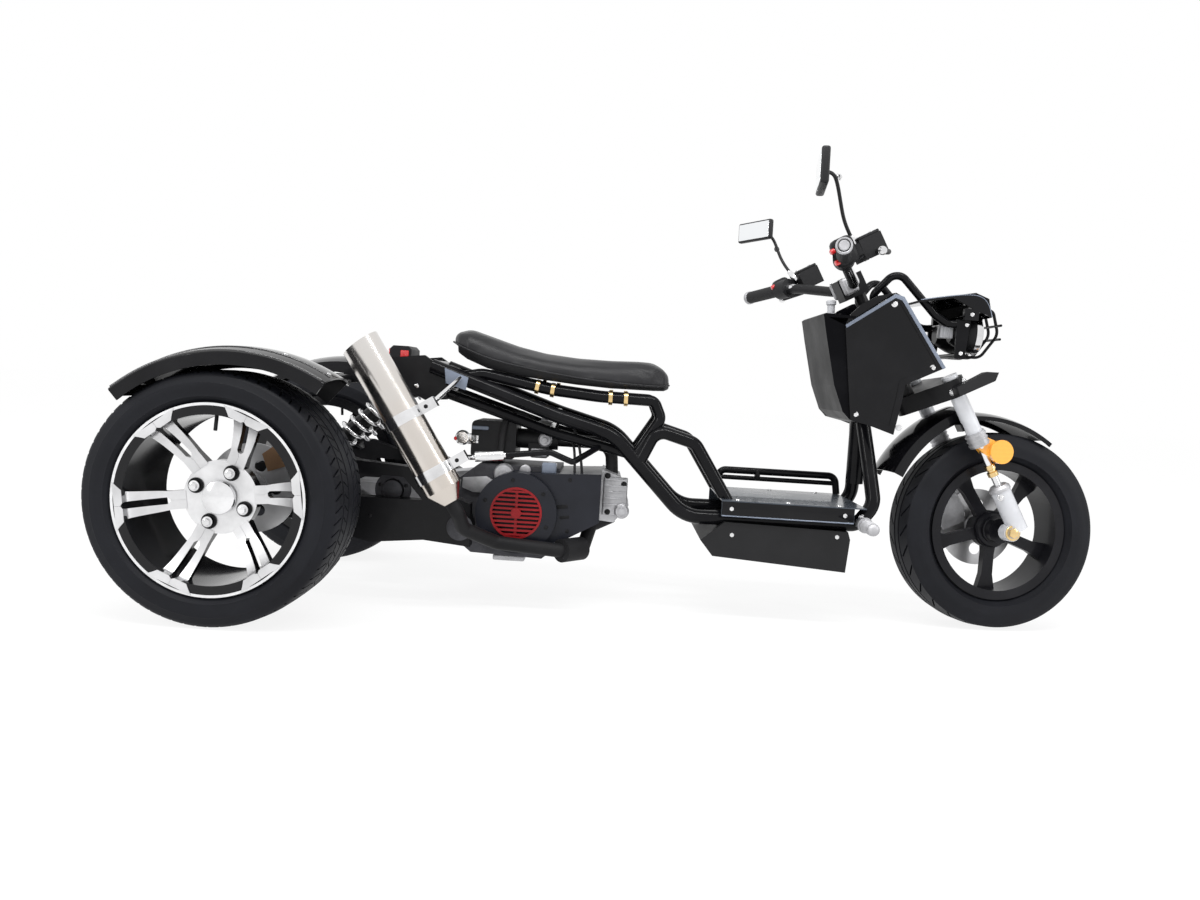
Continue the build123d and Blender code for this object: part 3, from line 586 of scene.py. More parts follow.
def lathe(profile, centre, axis, steps=96, closed=True):
    """Ring turned about an axis through a centre. The profile gives radius and distance along the axis, in metres."""
    along = Vector(axis).normalized()
    out = along.orthogonal().normalized()
    points = [centre + out * radius + along * run for radius, run in profile]
    if closed:
        points.append(points[0])
    piece = chain_of(points)
    with editing(piece):
        bpy.ops.mesh.spin(steps=steps, angle=2 * pi, center=centre, axis=along)
    outward(piece)
    return piece


def plate(points, depth, soft=0.0015):
    """Flat outline given a depth along a vector, with soft edges."""
    piece = chain_of(points, closed=True)
    with editing(piece):
        bpy.ops.mesh.extrude_region_move(TRANSFORM_OT_translate={"value": depth})
    outward(piece)
    if soft:
        bevel(piece, soft, 40)
    return piece


def pipe(points, radius, resolution=6, around=4):
    """Smooth round pipe through points, made a mesh."""
    curve = bpy.data.curves.new("pipe", "CURVE")
    curve.dimensions = "3D"
    curve.bevel_depth = radius
    curve.bevel_resolution = around
    curve.use_fill_caps = True
    curve.resolution_u = resolution
    spline = curve.splines.new("NURBS")
    spline.points.add(len(points) - 1)
    for point, place in zip(spline.points, points):
        point.co = (*place, 1)
    spline.order_u = min(4, len(points))
    spline.use_endpoint_u = True
    piece = bpy.data.objects.new("pipe", curve)
    bpy.context.scene.collection.objects.link(piece)
    only(piece)
    bpy.ops.object.convert(target="MESH")
    return bpy.context.object


def twin_of(piece, move):
    """Copy of a piece, its own mesh moved by a matrix."""
    twin = piece.copy()
    twin.data = piece.data.copy()
    bpy.context.scene.collection.objects.link(twin)
    twin.data.transform(move)
    return twin


def leaning(degrees):
    """Turn by angles about X, Y and Z, applied as Z, then Y, then X."""
    return Euler([radians(angle) for angle in degrees], "ZYX").to_matrix()


def brick(centre, size, soft, turn=(0, 0, 0), place=at):
    """Box with soft edges about a centre, in millimetres and degrees."""
    deselect()
    bpy.ops.mesh.primitive_cube_add(size=1)
    piece = bpy.context.object
    own = FORK_TURN.to_4x4() if place is fork else Matrix.Identity(4)
    turned = leaning(turn).to_4x4()
    scaled = Matrix.Diagonal((*[side * MM for side in size], 1))
    piece.matrix_world = Matrix.Translation(place(*centre)) @ own @ turned @ scaled
    settle(piece)
    bevel(piece, soft * MM, 40, 3)
    return piece


def knob(profile, centre, way, place=at, steps=40):
    """Piece turned about a direction through a centre, from radius and distance along it in millimetres."""
    axis = FORK_TURN @ Vector(way) if place is fork else way
    return lathe([(radius * MM, along * MM) for radius, along in profile], place(*centre), axis, steps, False)


def rod(points, radius, place=at):
    """Smooth pipe through points, in millimetres."""
    return pipe([place(*point) for point in points], radius * MM)


def flat(points, y, depth, soft=1.5, place=at):
    """Side-view outline of x and z given a depth across the trike, in millimetres."""
    across = place(0, depth, 0) - place(0, 0, 0)
    return plate([place(x, y, z) for x, z in points], across, soft * MM)


def about(centre, axis, angle):
    """Turn by an angle about an axis through a centre."""
    return Matrix.Translation(centre) @ Matrix.Rotation(angle, 4, Vector(axis)) @ Matrix.Translation(-centre)


def both(piece):
    """The piece and its twin on the other side of the trike."""
    twin = twin_of(piece, Matrix.Scale(-1, 4, Vector((0, 1, 0))))
    outward(twin)
    return [piece, twin]


class Sizes(bpy.types.PropertyGroup):
    """Sizes that a user would change."""
    rear_ribs: bpy.props.IntProperty(name="Rear tread blocks", description="Blocks round each rear tyre",
                                     default=66, min=24, max=120)
    front_ribs: bpy.props.IntProperty(name="Front tread cuts", description="Slanted cuts round the front tyre",
                                      default=30, min=12, max=60)
    groove: bpy.props.FloatProperty(name="Groove depth", description="Depth of the tread grooves", default=0.006,
                                    unit="LENGTH")
    spring_turns: bpy.props.IntProperty(name="Spring turns", description="Turns of each rear spring", default=8,
                                        min=4, max=14)
    wire: bpy.props.FloatProperty(name="Spring wire", description="Radius of the rear springs' wire", default=0.0048,
                                  unit="LENGTH")
    key_light: bpy.props.FloatProperty(name="Key light", description="Power of the large light above", default=60,
                                       unit="POWER")
    world_light: bpy.props.FloatProperty(name="Sky", description="Strength of the plain sky", default=0.75)


def tint_property(name, description, default):
    return bpy.props.FloatVectorProperty(name=name, description=description, default=default, subtype="COLOR",
                                         min=0, max=1)


class Colours(bpy.types.PropertyGroup):
    """Colours that a user would change."""
    frame: tint_property("Frame", "Paint of the frame's tubes", (0.004, 0.004, 0.005))
    deck: tint_property("Deck", "Paint of the deck's sheet", (0.06, 0.07, 0.085))
    trim: tint_property("Trims", "Paint of the shield's and deck's edges", (0.19, 0.22, 0.28))
    grille: tint_property("Grille", "Moulding of the fan's grille", (0.24, 0.003, 0.006))
    seat: tint_property("Seat", "Vinyl of the seat", (0.008, 0.008, 0.0095))
    spokes: tint_property("Spokes", "Bright faces of the rear wheels", (0.8, 0.8, 0.81))
    fork: tint_property("Fork", "Paint of the fork's tubes", (0.6, 0.61, 0.64))


def sizes():
    return bpy.context.scene.trike_sizes


# Wheels

class TRIKE_OT_tyres(bpy.types.Operator):
    """Tyres with cut treads and ribbed walls in place of the plain ones"""
    bl_idname = "trike.tyres"
    bl_label = "Tyres"

    def tyre(self, centre, axis, radius, width, lip, rim, grooves):
        """Tyre turned about its axis, its crown cut by grooves given as places across it."""
        half = width / 2
        height = radius - lip
        bead = rim / 2 - 0.0075
        foot = lip - 0.0162
        depth = sizes().groove
        wall = [(foot, bead), (lip + 0.0015, bead), (lip + 0.004, bead + 0.0035), (lip + 0.2 * height, half * 0.972),
                (lip + 0.24 * height, half * 0.968), (lip + 0.42 * height, half), (lip + 0.6 * height, half * 0.992),
                (lip + 0.63 * height, half * 0.975), (radius - 0.2 * height, half * 0.95),
                (radius - 0.12 * height, half * 0.915), (radius - 0.06 * height, half * 0.86)]
        crown = []
        for place in grooves:
            rise = radius - 0.035 * height * (abs(place) / (half * 0.86)) ** 2
            crown += [(rise, place + 0.0035), (rise - depth, place + 0.0025), (rise - depth, place - 0.0025),
                      (rise, place - 0.0035)]
        outer = wall + crown + [(r, -y) for r, y in reversed(wall)]
        inner = [(foot, -bead + 0.012), (lip + 0.004, -bead + 0.009), (radius - 0.025, -half * 0.75),
                 (radius - 0.02, 0), (radius - 0.025, half * 0.75), (lip + 0.004, bead - 0.009), (foot, bead - 0.012)]
        return lathe(outer + inner, centre, axis, 128)

    def cut(self, tyre, cutter):
        only(tyre)
        modifier(tyre, "BOOLEAN", object=cutter, operation="DIFFERENCE", solver="EXACT")
        apply_modifiers(tyre)
        bpy.data.objects.remove(cutter)

    def slots(self, centre, axis, radius, reach, width, slant, count):
        """Thin blocks round both halves of the crown that cut slanted grooves over a reach across it."""
        along = Vector(axis).normalized()
        out = along.orthogonal().normalized()
        round_way = along.cross(out)
        made = []
        for side in (1, -1):
            deselect()
            bpy.ops.mesh.primitive_cube_add(size=1)
            block = bpy.context.object
            start, end = reach
            run = along * side * (end - start) + round_way * slant
            turn = Matrix((run.normalized(), out.cross(run).normalized(), out)).transposed().to_4x4()
            block.matrix_world = (Matrix.Translation(centre + out * radius + along * side * (start + end) / 2)
                                  @ turn @ Matrix.Diagonal((run.length, width, 0.013, 1)))
            settle(block)
            half_step = pi / count if side < 0 else 0
            block.data.transform(about(centre, along, half_step))
            made.append(block)
            made += [twin_of(block, about(centre, along, 2 * pi * step / count)) for step in range(1, count)]
        return join("cutter", made)

    def execute(self, context):
        settings = sizes()
        low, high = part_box("rear_tyres")
        radius = (high.x - low.x) / 2
        across = (0, 1, 0)
        for name, side in (("rear_tyre_right", -1), ("rear_tyre_left", 1)):
            centre = wheel_centre(side)
            tyre = self.tyre(centre, across, radius, width=0.205, lip=0.195, rim=0.19,
                             grooves=(0.052, 0.018, -0.018, -0.052))
            self.cut(tyre, self.slots(centre, across, radius, (0.06, 0.105), 0.0045, 0.016, settings.rear_ribs))
            self.cut(tyre, self.slots(centre, across, radius + 0.001, (0.024, 0.046), 0.003, -0.014,
                                      settings.rear_ribs))
            dress(tyre, name, "rear_axle", "tyre", "tyre", angle=30)
        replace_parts(bpy.data.objects["rear_tyre_right"], "rear_tyres")
        radius = 0.2365
        tyre = self.tyre(HUB, FORK_ACROSS, radius, width=0.12, lip=0.167, rim=0.092, grooves=(0.011, -0.011))
        self.cut(tyre, self.slots(HUB, FORK_ACROSS, radius, (0.019, 0.05), 0.005, 0.03, settings.front_ribs))
        dress(tyre, "front_tyre_cut", "front_wheel", "tyre", "tyre", ("front_tyre",), 30)
        return {"FINISHED"}


class TRIKE_OT_wheel_fittings(bpy.types.Operator):
    """Lug nuts, centre caps, valves and the spokes' bright faces"""
    bl_idname = "trike.wheel_fittings"
    bl_label = "Wheel fittings"

    # Stations of a spoke's bright face: radius, depth in front of the wheel's middle, half width, half slot
    face_stations = (
        (70, 32.8, 19, 0.2), (92, 37, 19, 0.2), (99, 39.2, 19, 2), (106, 41.7, 20, 7), (118, 46.7, 21.5, 7),
        (130, 52.6, 22.7, 7), (142, 59.5, 23.9, 7), (154, 67.7, 25.1, 7), (164, 75.6, 26.4, 7),
        (168.7, 80.4, 27.5, 7), (170.2, 84, 28.5, 7), (170.2, 95.7, 32, 6), (174.2, 95.8, 36, 0.2),
        (179.2, 95.8, 41, 0.2), (187, 95.8, 50, 0.2),
    )
    bolt_circle = 0.055
    hub_face = 0.032
    # Degrees up from straight ahead
    first_nut = 67
    first_spoke = 7

    def execute(self, context):
        nuts, caps, rings, valves = [], [], [], []
        for side in (-1, 1):
            centre, out = wheel_centre(side), Vector((0, side, 0))
            for step in range(4):
                angle = radians(self.first_nut + 90 * step)
                place = centre + self.bolt_circle * Vector((cos(angle), 0, sin(angle))) + out * self.hub_face
                nuts.append(post(place + out * 0.002, place + out * 0.019, 0.0085, 6, 0.0015))
                rings.append(lathe([(0.0112, 0), (0.016, 0), (0.016, 0.0035), (0.0145, 0.005), (0.0112, 0.005)],
                                   place, out, 32))
            caps.append(lathe([(0, 0.036), (0.0335, 0.036), (0.0345, 0.042), (0.033, 0.046), (0.022, 0.0505),
                               (0.0115, 0.0525), (0, 0.053)], centre, out, 48, False))
            valve = centre + Vector((0, side * 0.062, 0.17))
            valves.append(post(valve, valve + Vector((0, side * 0.006, -0.032)), 0.0038, 12, 0.001))
        group("lug_nuts", nuts, "rear_axle", "chrome", "chrome")
        group("lug_seats", rings, "rear_axle", "satin_black", "rim_black")
        group("hub_caps", caps, "rear_axle", "chrome", "chrome")
        group("valves", valves, "rear_axle", "grip_rubber", "grip_rubber")
        self.faces()
        return {"FINISHED"}

    def faces(self):
        """Machined faces laid on the twin bars, flaring into the lip."""
        made = []
        for side in (-1, 1):
            for spoke in range(6):
                turn = radians(self.first_spoke + 60 * spoke)
                out, round_way = Vector((cos(turn), 0, sin(turn))), Vector((-sin(turn), 0, cos(turn)))
                for bar in (-1, 1):
                    rows = [(out * radius + Vector((0, side * depth, 0)), half, slot)
                            for radius, depth, half, slot in self.face_stations]
                    outer = [wheel_centre(side) + (place + round_way * bar * half) * MM for place, half, _ in rows]
                    inner = [wheel_centre(side) + (place + round_way * bar * slot) * MM for place, _, slot in rows]
                    made.append(ribbon([chain_of(outer), chain_of(inner)], 0.0012))
        faces = join("wheel_faces", made)
        outward(faces)
        dress(faces, "wheel_faces", "rear_axle", "machined", "rim_black", angle=50)


# Seat

class TRIKE_OT_seat(bpy.types.Operator):
    """Saddle seat: a swelled vinyl cushion on a moulded base"""
    bl_idname = "trike.seat"
    bl_label = "Seat"

    # Stations along the seat: x, underside, edge line, crown, half width
    stations = (
        (404, 606, 618, 635, 70), (416, 590, 612, 644, 92), (440, 575, 602, 645, 110), (490, 556, 583, 630, 118),
        (554, 544, 570, 611, 120), (620, 537, 560, 598, 120), (700, 530, 550, 591, 117), (780, 526, 544, 590, 111),
        (840, 526, 542, 592, 105), (880, 526, 541, 591, 98), (906, 527, 542, 582, 86), (918, 532, 545, 568, 66),
    )

    # One side of the cushion's section: share of the half width, share of the rise
    section = ((0.92, 0), (1, 0.12), (0.99, 0.45), (0.9, 0.78), (0.72, 0.93), (0.4, 0.99))
    tuck = 6
    slack = 4
    drop = 3
    most_swell = 0.005

    def shell(self):
        """Rings of a cushion through the stations, a little smaller than the finished seat."""
        whole = [(-share, up) for share, up in self.section] + [(0, 1)] + list(reversed(self.section))
        rings = []
        for x, under, edge, crown, half in self.stations:
            foot = edge - self.tuck
            rings.append([at(x, share * (half - self.slack), foot + up * (crown - foot) - self.drop)
                          for share, up in whole])
        return rings

    def bridge(self, rings):
        """Tube of quads through closed rings, its ends filled."""
        piece = join("shell", [chain_of(ring + [ring[0]]) for ring in rings])
        outward(piece)
        with editing(piece):
            bpy.ops.mesh.bridge_edge_loops()
            bpy.ops.mesh.select_all(action="DESELECT")
            bpy.ops.mesh.select_non_manifold()
            bpy.ops.mesh.edge_face_add()
        outward(piece)
        return piece

    def swell(self, piece):
        """Blows the cushion up a little as cloth, its points held within a few millimetres."""
        modifier(piece, "REMESH", mode="VOXEL", voxel_size=0.0055)
        apply_modifiers(piece)
        start = [vertex.co.copy() for vertex in piece.data.vertices]
        cloth = piece.modifiers.new("Cloth", "CLOTH")
        cloth.settings.use_pressure = True
        cloth.settings.uniform_pressure_force = 4
        cloth.settings.effector_weights.gravity = 0
        cloth.settings.tension_stiffness = 60
        pinned = piece.vertex_groups.new(name="base")
        pinned.add([vertex.index for vertex in piece.data.vertices if vertex.normal.z < -0.6], 1, "REPLACE")
        cloth.settings.vertex_group_mass = "base"
        for step in range(1, 21):
            bpy.context.scene.frame_set(step)
        apply_modifiers(piece)
        bpy.context.scene.frame_set(1)
        for vertex, before in zip(piece.data.vertices, start):
            move = vertex.co - before
            if move.length > self.most_swell:
                vertex.co = before + move.normalized() * self.most_swell
        modifier(piece, "SMOOTH", factor=0.5, iterations=8)
        modifier(piece, "SUBSURF", levels=1, render_levels=1)
        apply_modifiers(piece)

    def execute(self, context):
        cushion = self.bridge(self.shell())
        self.swell(cushion)
        dress(cushion, "seat_cushion", "chassis", "seat_cover", "seat_cover", ("seat",), 180)
        rings = []
        for x, under, edge, crown, half in self.stations[1:]:
            low = half * 0.82
            rings.append([at(x, -half * 0.93, edge - 2), at(x, -low, under), at(x, low, under),
                          at(x, half * 0.93, edge - 2), at(x, half * 0.8, edge + 6), at(x, -half * 0.8, edge + 6)])
        base = self.bridge(rings)
        bevel(base, 0.004, 35)
        dress(base, "seat_base", "chassis", "black_plastic", "black_plastic")
        welts = [pipe([at(x, side * half * 0.985, edge - 4) for x, under, edge, crown, half in self.stations], 0.0022)
                 for side in (-1, 1)]
        group("seat_welt", welts, "chassis", "seat_cover", "seat_cover")
        return {"FINISHED"}


# Springs

class TRIKE_OT_springs(bpy.types.Operator):
    """Rear dampers with wound springs in place of the plain ones"""
    bl_idname = "trike.springs"
    bl_label = "Rear springs"

    def execute(self, context):
        low, high = at(110, -66, 335), at(360, -66, 556)
        run = (high - low).normalized()
        length = (high - low).length
        body = [
            lathe([(0, 0.02), (0.012, 0.02), (0.012, 0.045), (0.02, 0.048), (0.02, 0.15), (0.008, 0.155),
                   (0.008, length - 0.05), (0.015, length - 0.045), (0.017, length - 0.015), (0, length - 0.012)],
                  low, run, 32, False),
            lathe([(0.0205, 0.035), (0.034, 0.038), (0.035, 0.044), (0.0205, 0.047)], low, run, 40),
            lathe([(0.009, 0.248), (0.033, 0.25), (0.034, 0.256), (0.009, 0.262)], low, run, 40),
        ]
        for eye in (low + run * 0.012, high - run * 0.01):
            body.append(lathe([(0.008, -0.016), (0.017, -0.016), (0.018, -0.013), (0.018, 0.013), (0.017, 0.016),
                               (0.008, 0.016)], eye, (0, 1, 0), 32))
        settings = sizes()
        steps = 16 * settings.spring_turns
        out = run.orthogonal().normalized()
        start, end, coil = 0.05, 0.246, 0.027
        points = []
        for step in range(steps + 1):
            share = step / steps
            turn = Matrix.Rotation(2 * pi * settings.spring_turns * share, 3, run)
            points.append(low + run * (start + (end - start) * share) + turn @ out * coil)
        spring = pipe(points, settings.wire, 1, 3)
        group("dampers", both(join("damper", body)), "chassis", "satin_black", "satin_black", ("rear_shocks",))
        group("springs", both(spring), "chassis", "chrome", "chrome", angle=60)
        return {"FINISHED"}


# Mirrors

class TRIKE_OT_mirrors(bpy.types.Operator):
    """Mirror heads with silvered glass on bent arms"""
    bl_idname = "trike.mirrors"
    bl_label = "Mirrors"

    # Node, arm, centre of the head, its turn about Z, its size, bolt on the arm's knee
    heads = (
        ("mirror_right", ((-52, -212, 1000), (-58, -220, 1044), (-57, -226, 1074), (-50, -268, 1150),
                          (-64, -284, 1160), (-84, -290, 1168)), (-84, -290, 1168), -14, (18, 112, 76),
         (-46, -270, 1146)),
        ("mirror_left", ((-50, 212, 1000), (-60, 232, 1042), (-50, 246, 1096), (-44, 256, 1130),
                         (-62, 258, 1146), (-80, 259, 1156)), (-80, 258, 1158), 33, (16, 112, 52), (-44, 264, 1092)),
    )

    def execute(self, context):
        glass, fittings = [], []
        for node, arm, centre, turn, size, knee in self.heads:
            lean = (0, 28.7, turn)
            head = brick(centre, size, 5, lean, fork)
            arm_pipe = rod(arm, 4, fork)
            dress(join(node, [head, arm_pipe]), node + "_head", "steering", "mirror_glass", "mirror_glass", (node,))
            back = leaning(lean) @ Vector((-size[0] / 2 - 0.1, 0, 0))
            glass.append(brick(Vector(centre) + back, (1.4, size[1] - 9, size[2] - 9), 0.6, lean, fork))
            x, y, z = knee
            fittings.append(bolt(fork(*knee), fork(*knee) - fork(x - 10, y - y / 30, z), 0.0055, 0.006))
            fittings.append(knob([(0, -8), (9, -8), (10, -4), (10, 10), (7, 16), (6, 26), (0, 26)], arm[0],
                                 Vector(arm[1]) - Vector(arm[0]), fork))
        group("mirror_panes", glass, "steering", "silvered", "mirror_glass")
        group("mirror_bolts", fittings, "steering", "chrome", "chrome")
        return {"FINISHED"}


# Handlebar

class TRIKE_OT_bar_fittings(bpy.types.Operator):
    """Switch housings, lids, buttons, bar clamps, lever ends and the lock column"""
    bl_idname = "trike.bar_fittings"
    bl_label = "Handlebar fittings"

    def execute(self, context):
        black, chrome, red, grey_cast, silver = [], [], [], [], []
        for side in (-1, 1):
            black.append(brick((-24, side * 205, 1011), (52, 58, 7), 2.5, place=fork))
            for dx in (-18, 18):
                chrome.append(knob([(0, 0), (4.5, 0), (4.5, 1.6), (3, 3), (0, 3)], (-24 + dx, side * 205, 1014), UP,
                                   fork, 20))
            silver.append(brick((-28, side * 35, 926), (34, 22, 42), 6, place=fork))
            for dx in (-11, 11):
                chrome.append(bolt(fork(-28 + dx, side * 35, 946), FORK_TURN @ Vector((0, 0, 1)), 0.0048, 0.006))
            chrome.append(knob([(0, -9), (5, -8), (8.5, -4), (9.5, 0), (8.5, 4), (5, 8), (0, 9)],
                               (-62, side * 345, 966), (0, side, 0), fork, 28))
            chrome.append(knob([(0, -14), (7, -14), (7, 14), (0, 14)], (-36, side * 205, 975), UP, fork, 24))
            chrome.append(knob([(11.5, -4), (18, -4), (19, -2), (19, 2), (18, 4), (11.5, 4), (11.5, -4)],
                               (-91, side * 222, 988.3), (-3, side * 10, 0.8), fork))
            silver.append(knob([(0, 5), (16, 5), (17.5, 7), (17.5, 15), (15, 18), (12, 17), (9, 20), (0, 20)],
                               (-135, side * 350, 1006), (-8.8, side * 25.6, 3.7), fork, 18))
            black.append(rod(((-116, side * 294, 998), (-82, side * 196, 984), (-60, side * 140, 960),
                              (-38, side * 90, 936), (-29, side * 62, 925.5)), 12.2, fork))
        grey_cast.append(brick((-24, -205, 988), (58, 50, 42), 8, place=fork))
        black.append(brick((-86, -226, 1000), (50, 36, 62), 13, place=fork))
        black.append(brick((-84, 240, 994), (44, 36, 46), 12, place=fork))
        for place in ((-110, -236, 1010), (-110, -236, 984), (-106, 226, 1004)):
            red.append(knob([(0, 0), (6, 0), (6, 8), (4.5, 10), (0, 10)], place, (-1, 0, 0), fork, 24))
        group("switch_housings", black, "steering", "black_plastic", "black_plastic")
        group("bar_chrome", chrome, "steering", "chrome", "chrome")
        group("buttons", red, "steering", "lens_red", "lens_red")
        group("reservoir_body", grey_cast, "steering", "cast", "cast")
        group("bar_clamps", silver, "steering", "silver", "silver")
        lock = [knob([(0, 0), (9, 0), (9, 40), (12, 42), (12, 50), (9, 52), (0, 52)], (1299, -12, 716), (-3, 0, 50)),
                knob([(0, 0), (5, 0), (5, 44), (0, 45)], (1300, 12, 716), (-3, 0, 50))]
        group("lock_column", lock, "chassis", "fork_silver", "silver")
        return {"FINISHED"}


# Leg shield and lamps

class TRIKE_OT_front_fittings(bpy.types.Operator):
    """Panel trims and bolts, lamp rims and glasses, visor edge"""
    bl_idname = "trike.front_fittings"
    bl_label = "Front fittings"

    def execute(self, context):
        band = [(1306, 703), (1414, 779), (1434, 774), (1541, 619), (1534, 615), (1430, 765), (1415, 770),
                (1309, 696)]
        group("panel_trims", both(flat(band, -136.5, 3, 1)), "chassis", "trim_blue", "deck_blue")
        places = []
        for side in (-1, 1):
            for x, y, z in ((1414, 134, 757), (1513, 134, 617), (1446, 134, 476), (1345, 134, 500),
                            (1591, 104, 721), (1582, 104, 655), (1596, 118, 744)):
                places.append((at(x, side * y, z), (0, side, 0)))
        bolts("front_bolts", places, None, 0.0052, 0.005, "chassis")
        brow = [(1307, 703), (1318, 728), (1342, 754), (1378, 774), (1418, 783), (1432, 776), (1414, 779)]
        cowl = flat(brow, -126, 4, 1)
        group("cowl_sides", both(cowl), "chassis", "gloss_panel", "gloss_panel")
        rims, glasses, bowls = [], [], []
        for side in (-1, 1):
            centre = (1628, side * 52, 704)
            rims.append(knob([(42, -9), (47, -9), (48.5, -4), (48.5, 3), (46, 6), (42.5, 5), (42, -9)], centre,
                             AHEAD, steps=64))
            glasses.append(knob([(0, 0), (43.5, 0), (42.5, 4), (34, 7), (18, 9), (0, 9.6)], centre, AHEAD, steps=64))
            bowls.append(knob([(0, -58), (22, -58), (30, -46), (40, -28), (45, -14), (46.5, -6), (0, -6)], centre,
                              AHEAD, steps=64))
        group("lamp_rims", rims, "chassis", "chrome", "chrome")
        group("lamp_bowls", bowls, "chassis", "satin_black", "satin_black")
        group("lamp_glasses", glasses, "chassis", "lens_clear", "lens_clear", ("headlamps",))
        coil = [brick((1555, -66, 705), (31, 24, 30), 3)]
        coil += [brick((1548 + 7 * step, -78, 705), (3, 3, 27), 1) for step in range(3)]
        group("lamp_relay", coil, "chassis", "fork_silver", "silver")
        edge = [rod(((1478, side * 117, 771.5), (1540, side * 117, 783), (1600, side * 117, 794.5),
                     (1632, side * 117, 782), (1642, side * 117, 741)), 1.3) for side in (-1, 1)]
        group("visor_edge", edge, "chassis", "trim_blue", "deck_blue")
        return {"FINISHED"}


# Engine

class TRIKE_OT_engine_details(bpy.types.Operator):
    """Carburettor, starter, covers, hoses and bolts on the engine and the exhaust"""
    bl_idname = "trike.engine_details"
    bl_label = "Engine details"

    def execute(self, context):
        silver = [
            knob([(0, 0), (19, 0), (20, 2), (20, 18), (15, 24), (9, 26), (9, 32), (0, 32)], (625, -8, 412), UP),
            brick((616, -10, 360), (44, 42, 26), 6),
            knob([(0, 0), (17, 0), (17, 8), (13, 12), (7, 12), (6, 20), (0, 20)], (630, -28, 392), RIGHT),
            knob([(0, 0), (23, 0), (23, 14), (20, 20), (10, 22), (9, 26), (0, 26)], (541, -84, 312), RIGHT),
            knob([(0, 0), (12, 0), (13, 3), (13, 12), (9, 14), (0, 14)], (591, -84, 322), RIGHT),
            flat(((444, 296), (500, 302), (535, 284), (535, 262), (470, 262), (444, 272)), -92, 8, 2),
            brick((561, -58, 108), (76, 44, 14), 4),
            brick((648, -88, 166), (42, 16, 28), 5),
            brick((806, -65, 270), (58, 8, 92), 3),
            knob([(0, 0), (17, 0), (18, 2), (18, 10), (14, 13), (8, 13), (8, 18), (0, 18)], (824, -64, 236), RIGHT),
        ]
        for step in range(5):
            silver.append(brick((806, -69, 310 - 15 * step), (54, 6, 4), 1))
        group("engine_castings", silver, "chassis", "silver", "silver")
        cover = [knob([(0, 0), (42, 0), (42, 6.5), (26, 7), (23, 15), (12, 17), (0, 17)], (290, -128, 262), RIGHT),
                 knob([(0, 0), (30, 0), (30, 5), (24, 8), (0, 9)], (456, -174, 190), RIGHT)]
        group("carrier_covers", cover, "chassis", "cast", "cast")
        hoses = [
            rod(((527, -66, 346), (528, -66, 372), (531, -65, 420), (540, -60, 452), (575, -44, 458),
                 (600, -24, 432)), 8.5),
            rod(((655, -30, 424), (664, -60, 448), (692, -82, 444), (716, -92, 404), (726, -96, 318)), 3.2),
            rod(((650, -30, 404), (668, -50, 418), (696, -70, 410), (706, -84, 380), (708, -96, 316)), 3.2),
        ]
        group("intake_hoses", hoses, "chassis", "grip_rubber", "grip_rubber", angle=60)
        stay = rod(((556, -208.7, 364.8), (600, -204.8, 370.2), (640, -201.3, 375.3), (654, -200, 377),
                    (664, -198, 373), (690, -193, 362.4), (704, -190.4, 356.8), (708, -187, 357),
                    (716, -173.6, 361.8), (762, -100, 388)), 7)
        dress(stay, "stay_paint", "chassis", "frame_black", "frame_black", angle=60)
        valve = [
            knob([(0, 0), (17, 0), (18, 2), (18, 8), (14, 11), (6, 11), (5, 16), (0, 16)], (434, -50, 388), RIGHT),
            brick((456, -52, 386), (40, 16, 26), 4),
            knob([(0, 0), (10.5, 0), (11.5, 2), (11.5, 62), (10.5, 64), (0, 64)], (488, -214.6, 357), (67, 8.8, 7)),
        ]
        group("air_valve", valve, "chassis", "chrome", "chrome")
        dot = knob([(0, 0), (5, 0), (5, 5), (3, 7), (0, 7)], (418, -54, 385), RIGHT)
        dress(dot, "valve_dot", "chassis", "lens_red", "lens_red")
        dark = [brick((648, -98, 331), (34, 26, 26), 4), brick((476, -60, 414), (40, 14, 9), 3)]
        group("connectors", dark, "chassis", "trim_blue", "deck_blue")
        # Thin matt black plates on the cowl stand in for the painted shade inside its slots.
        slot = [brick((684, -135, 246), (28, 2.4, 9), 1, (0, -8, 0)),
                brick((692, -135, 222), (22, 2.4, 7), 1, (0, -8, 0))]
        group("cowl_slots", slot, "chassis", "header_black", "header_black")
        places = []
        for angle in (38, 98, 160, 222, 284, 338):
            places.append(at(580 + 77 * cos(radians(angle)), -150, 227 + 77 * sin(radians(angle))))
        places += [at(384, -269, 465), at(457, -269, 352), at(249, -175, 205), at(110, -175, 335),
                   at(350, -175, 302), at(440, -175, 215), at(60, -175, 225), at(786, -70, 318), at(826, -70, 300),
                   at(790, -70, 232), at(456, -183, 190), at(640, -98, 166), at(700, -135, 310), at(700, -135, 190)]
        places += [at(290 + 32 * cos(angle), -134.5, 262 + 32 * sin(angle)) for angle in (0.35, 2.8)]
        bolts("engine_bolts", places, RIGHT, 0.005, 0.004, "chassis", "satin_black", "satin_black")
        return {"FINISHED"}


# Fork and front wheel

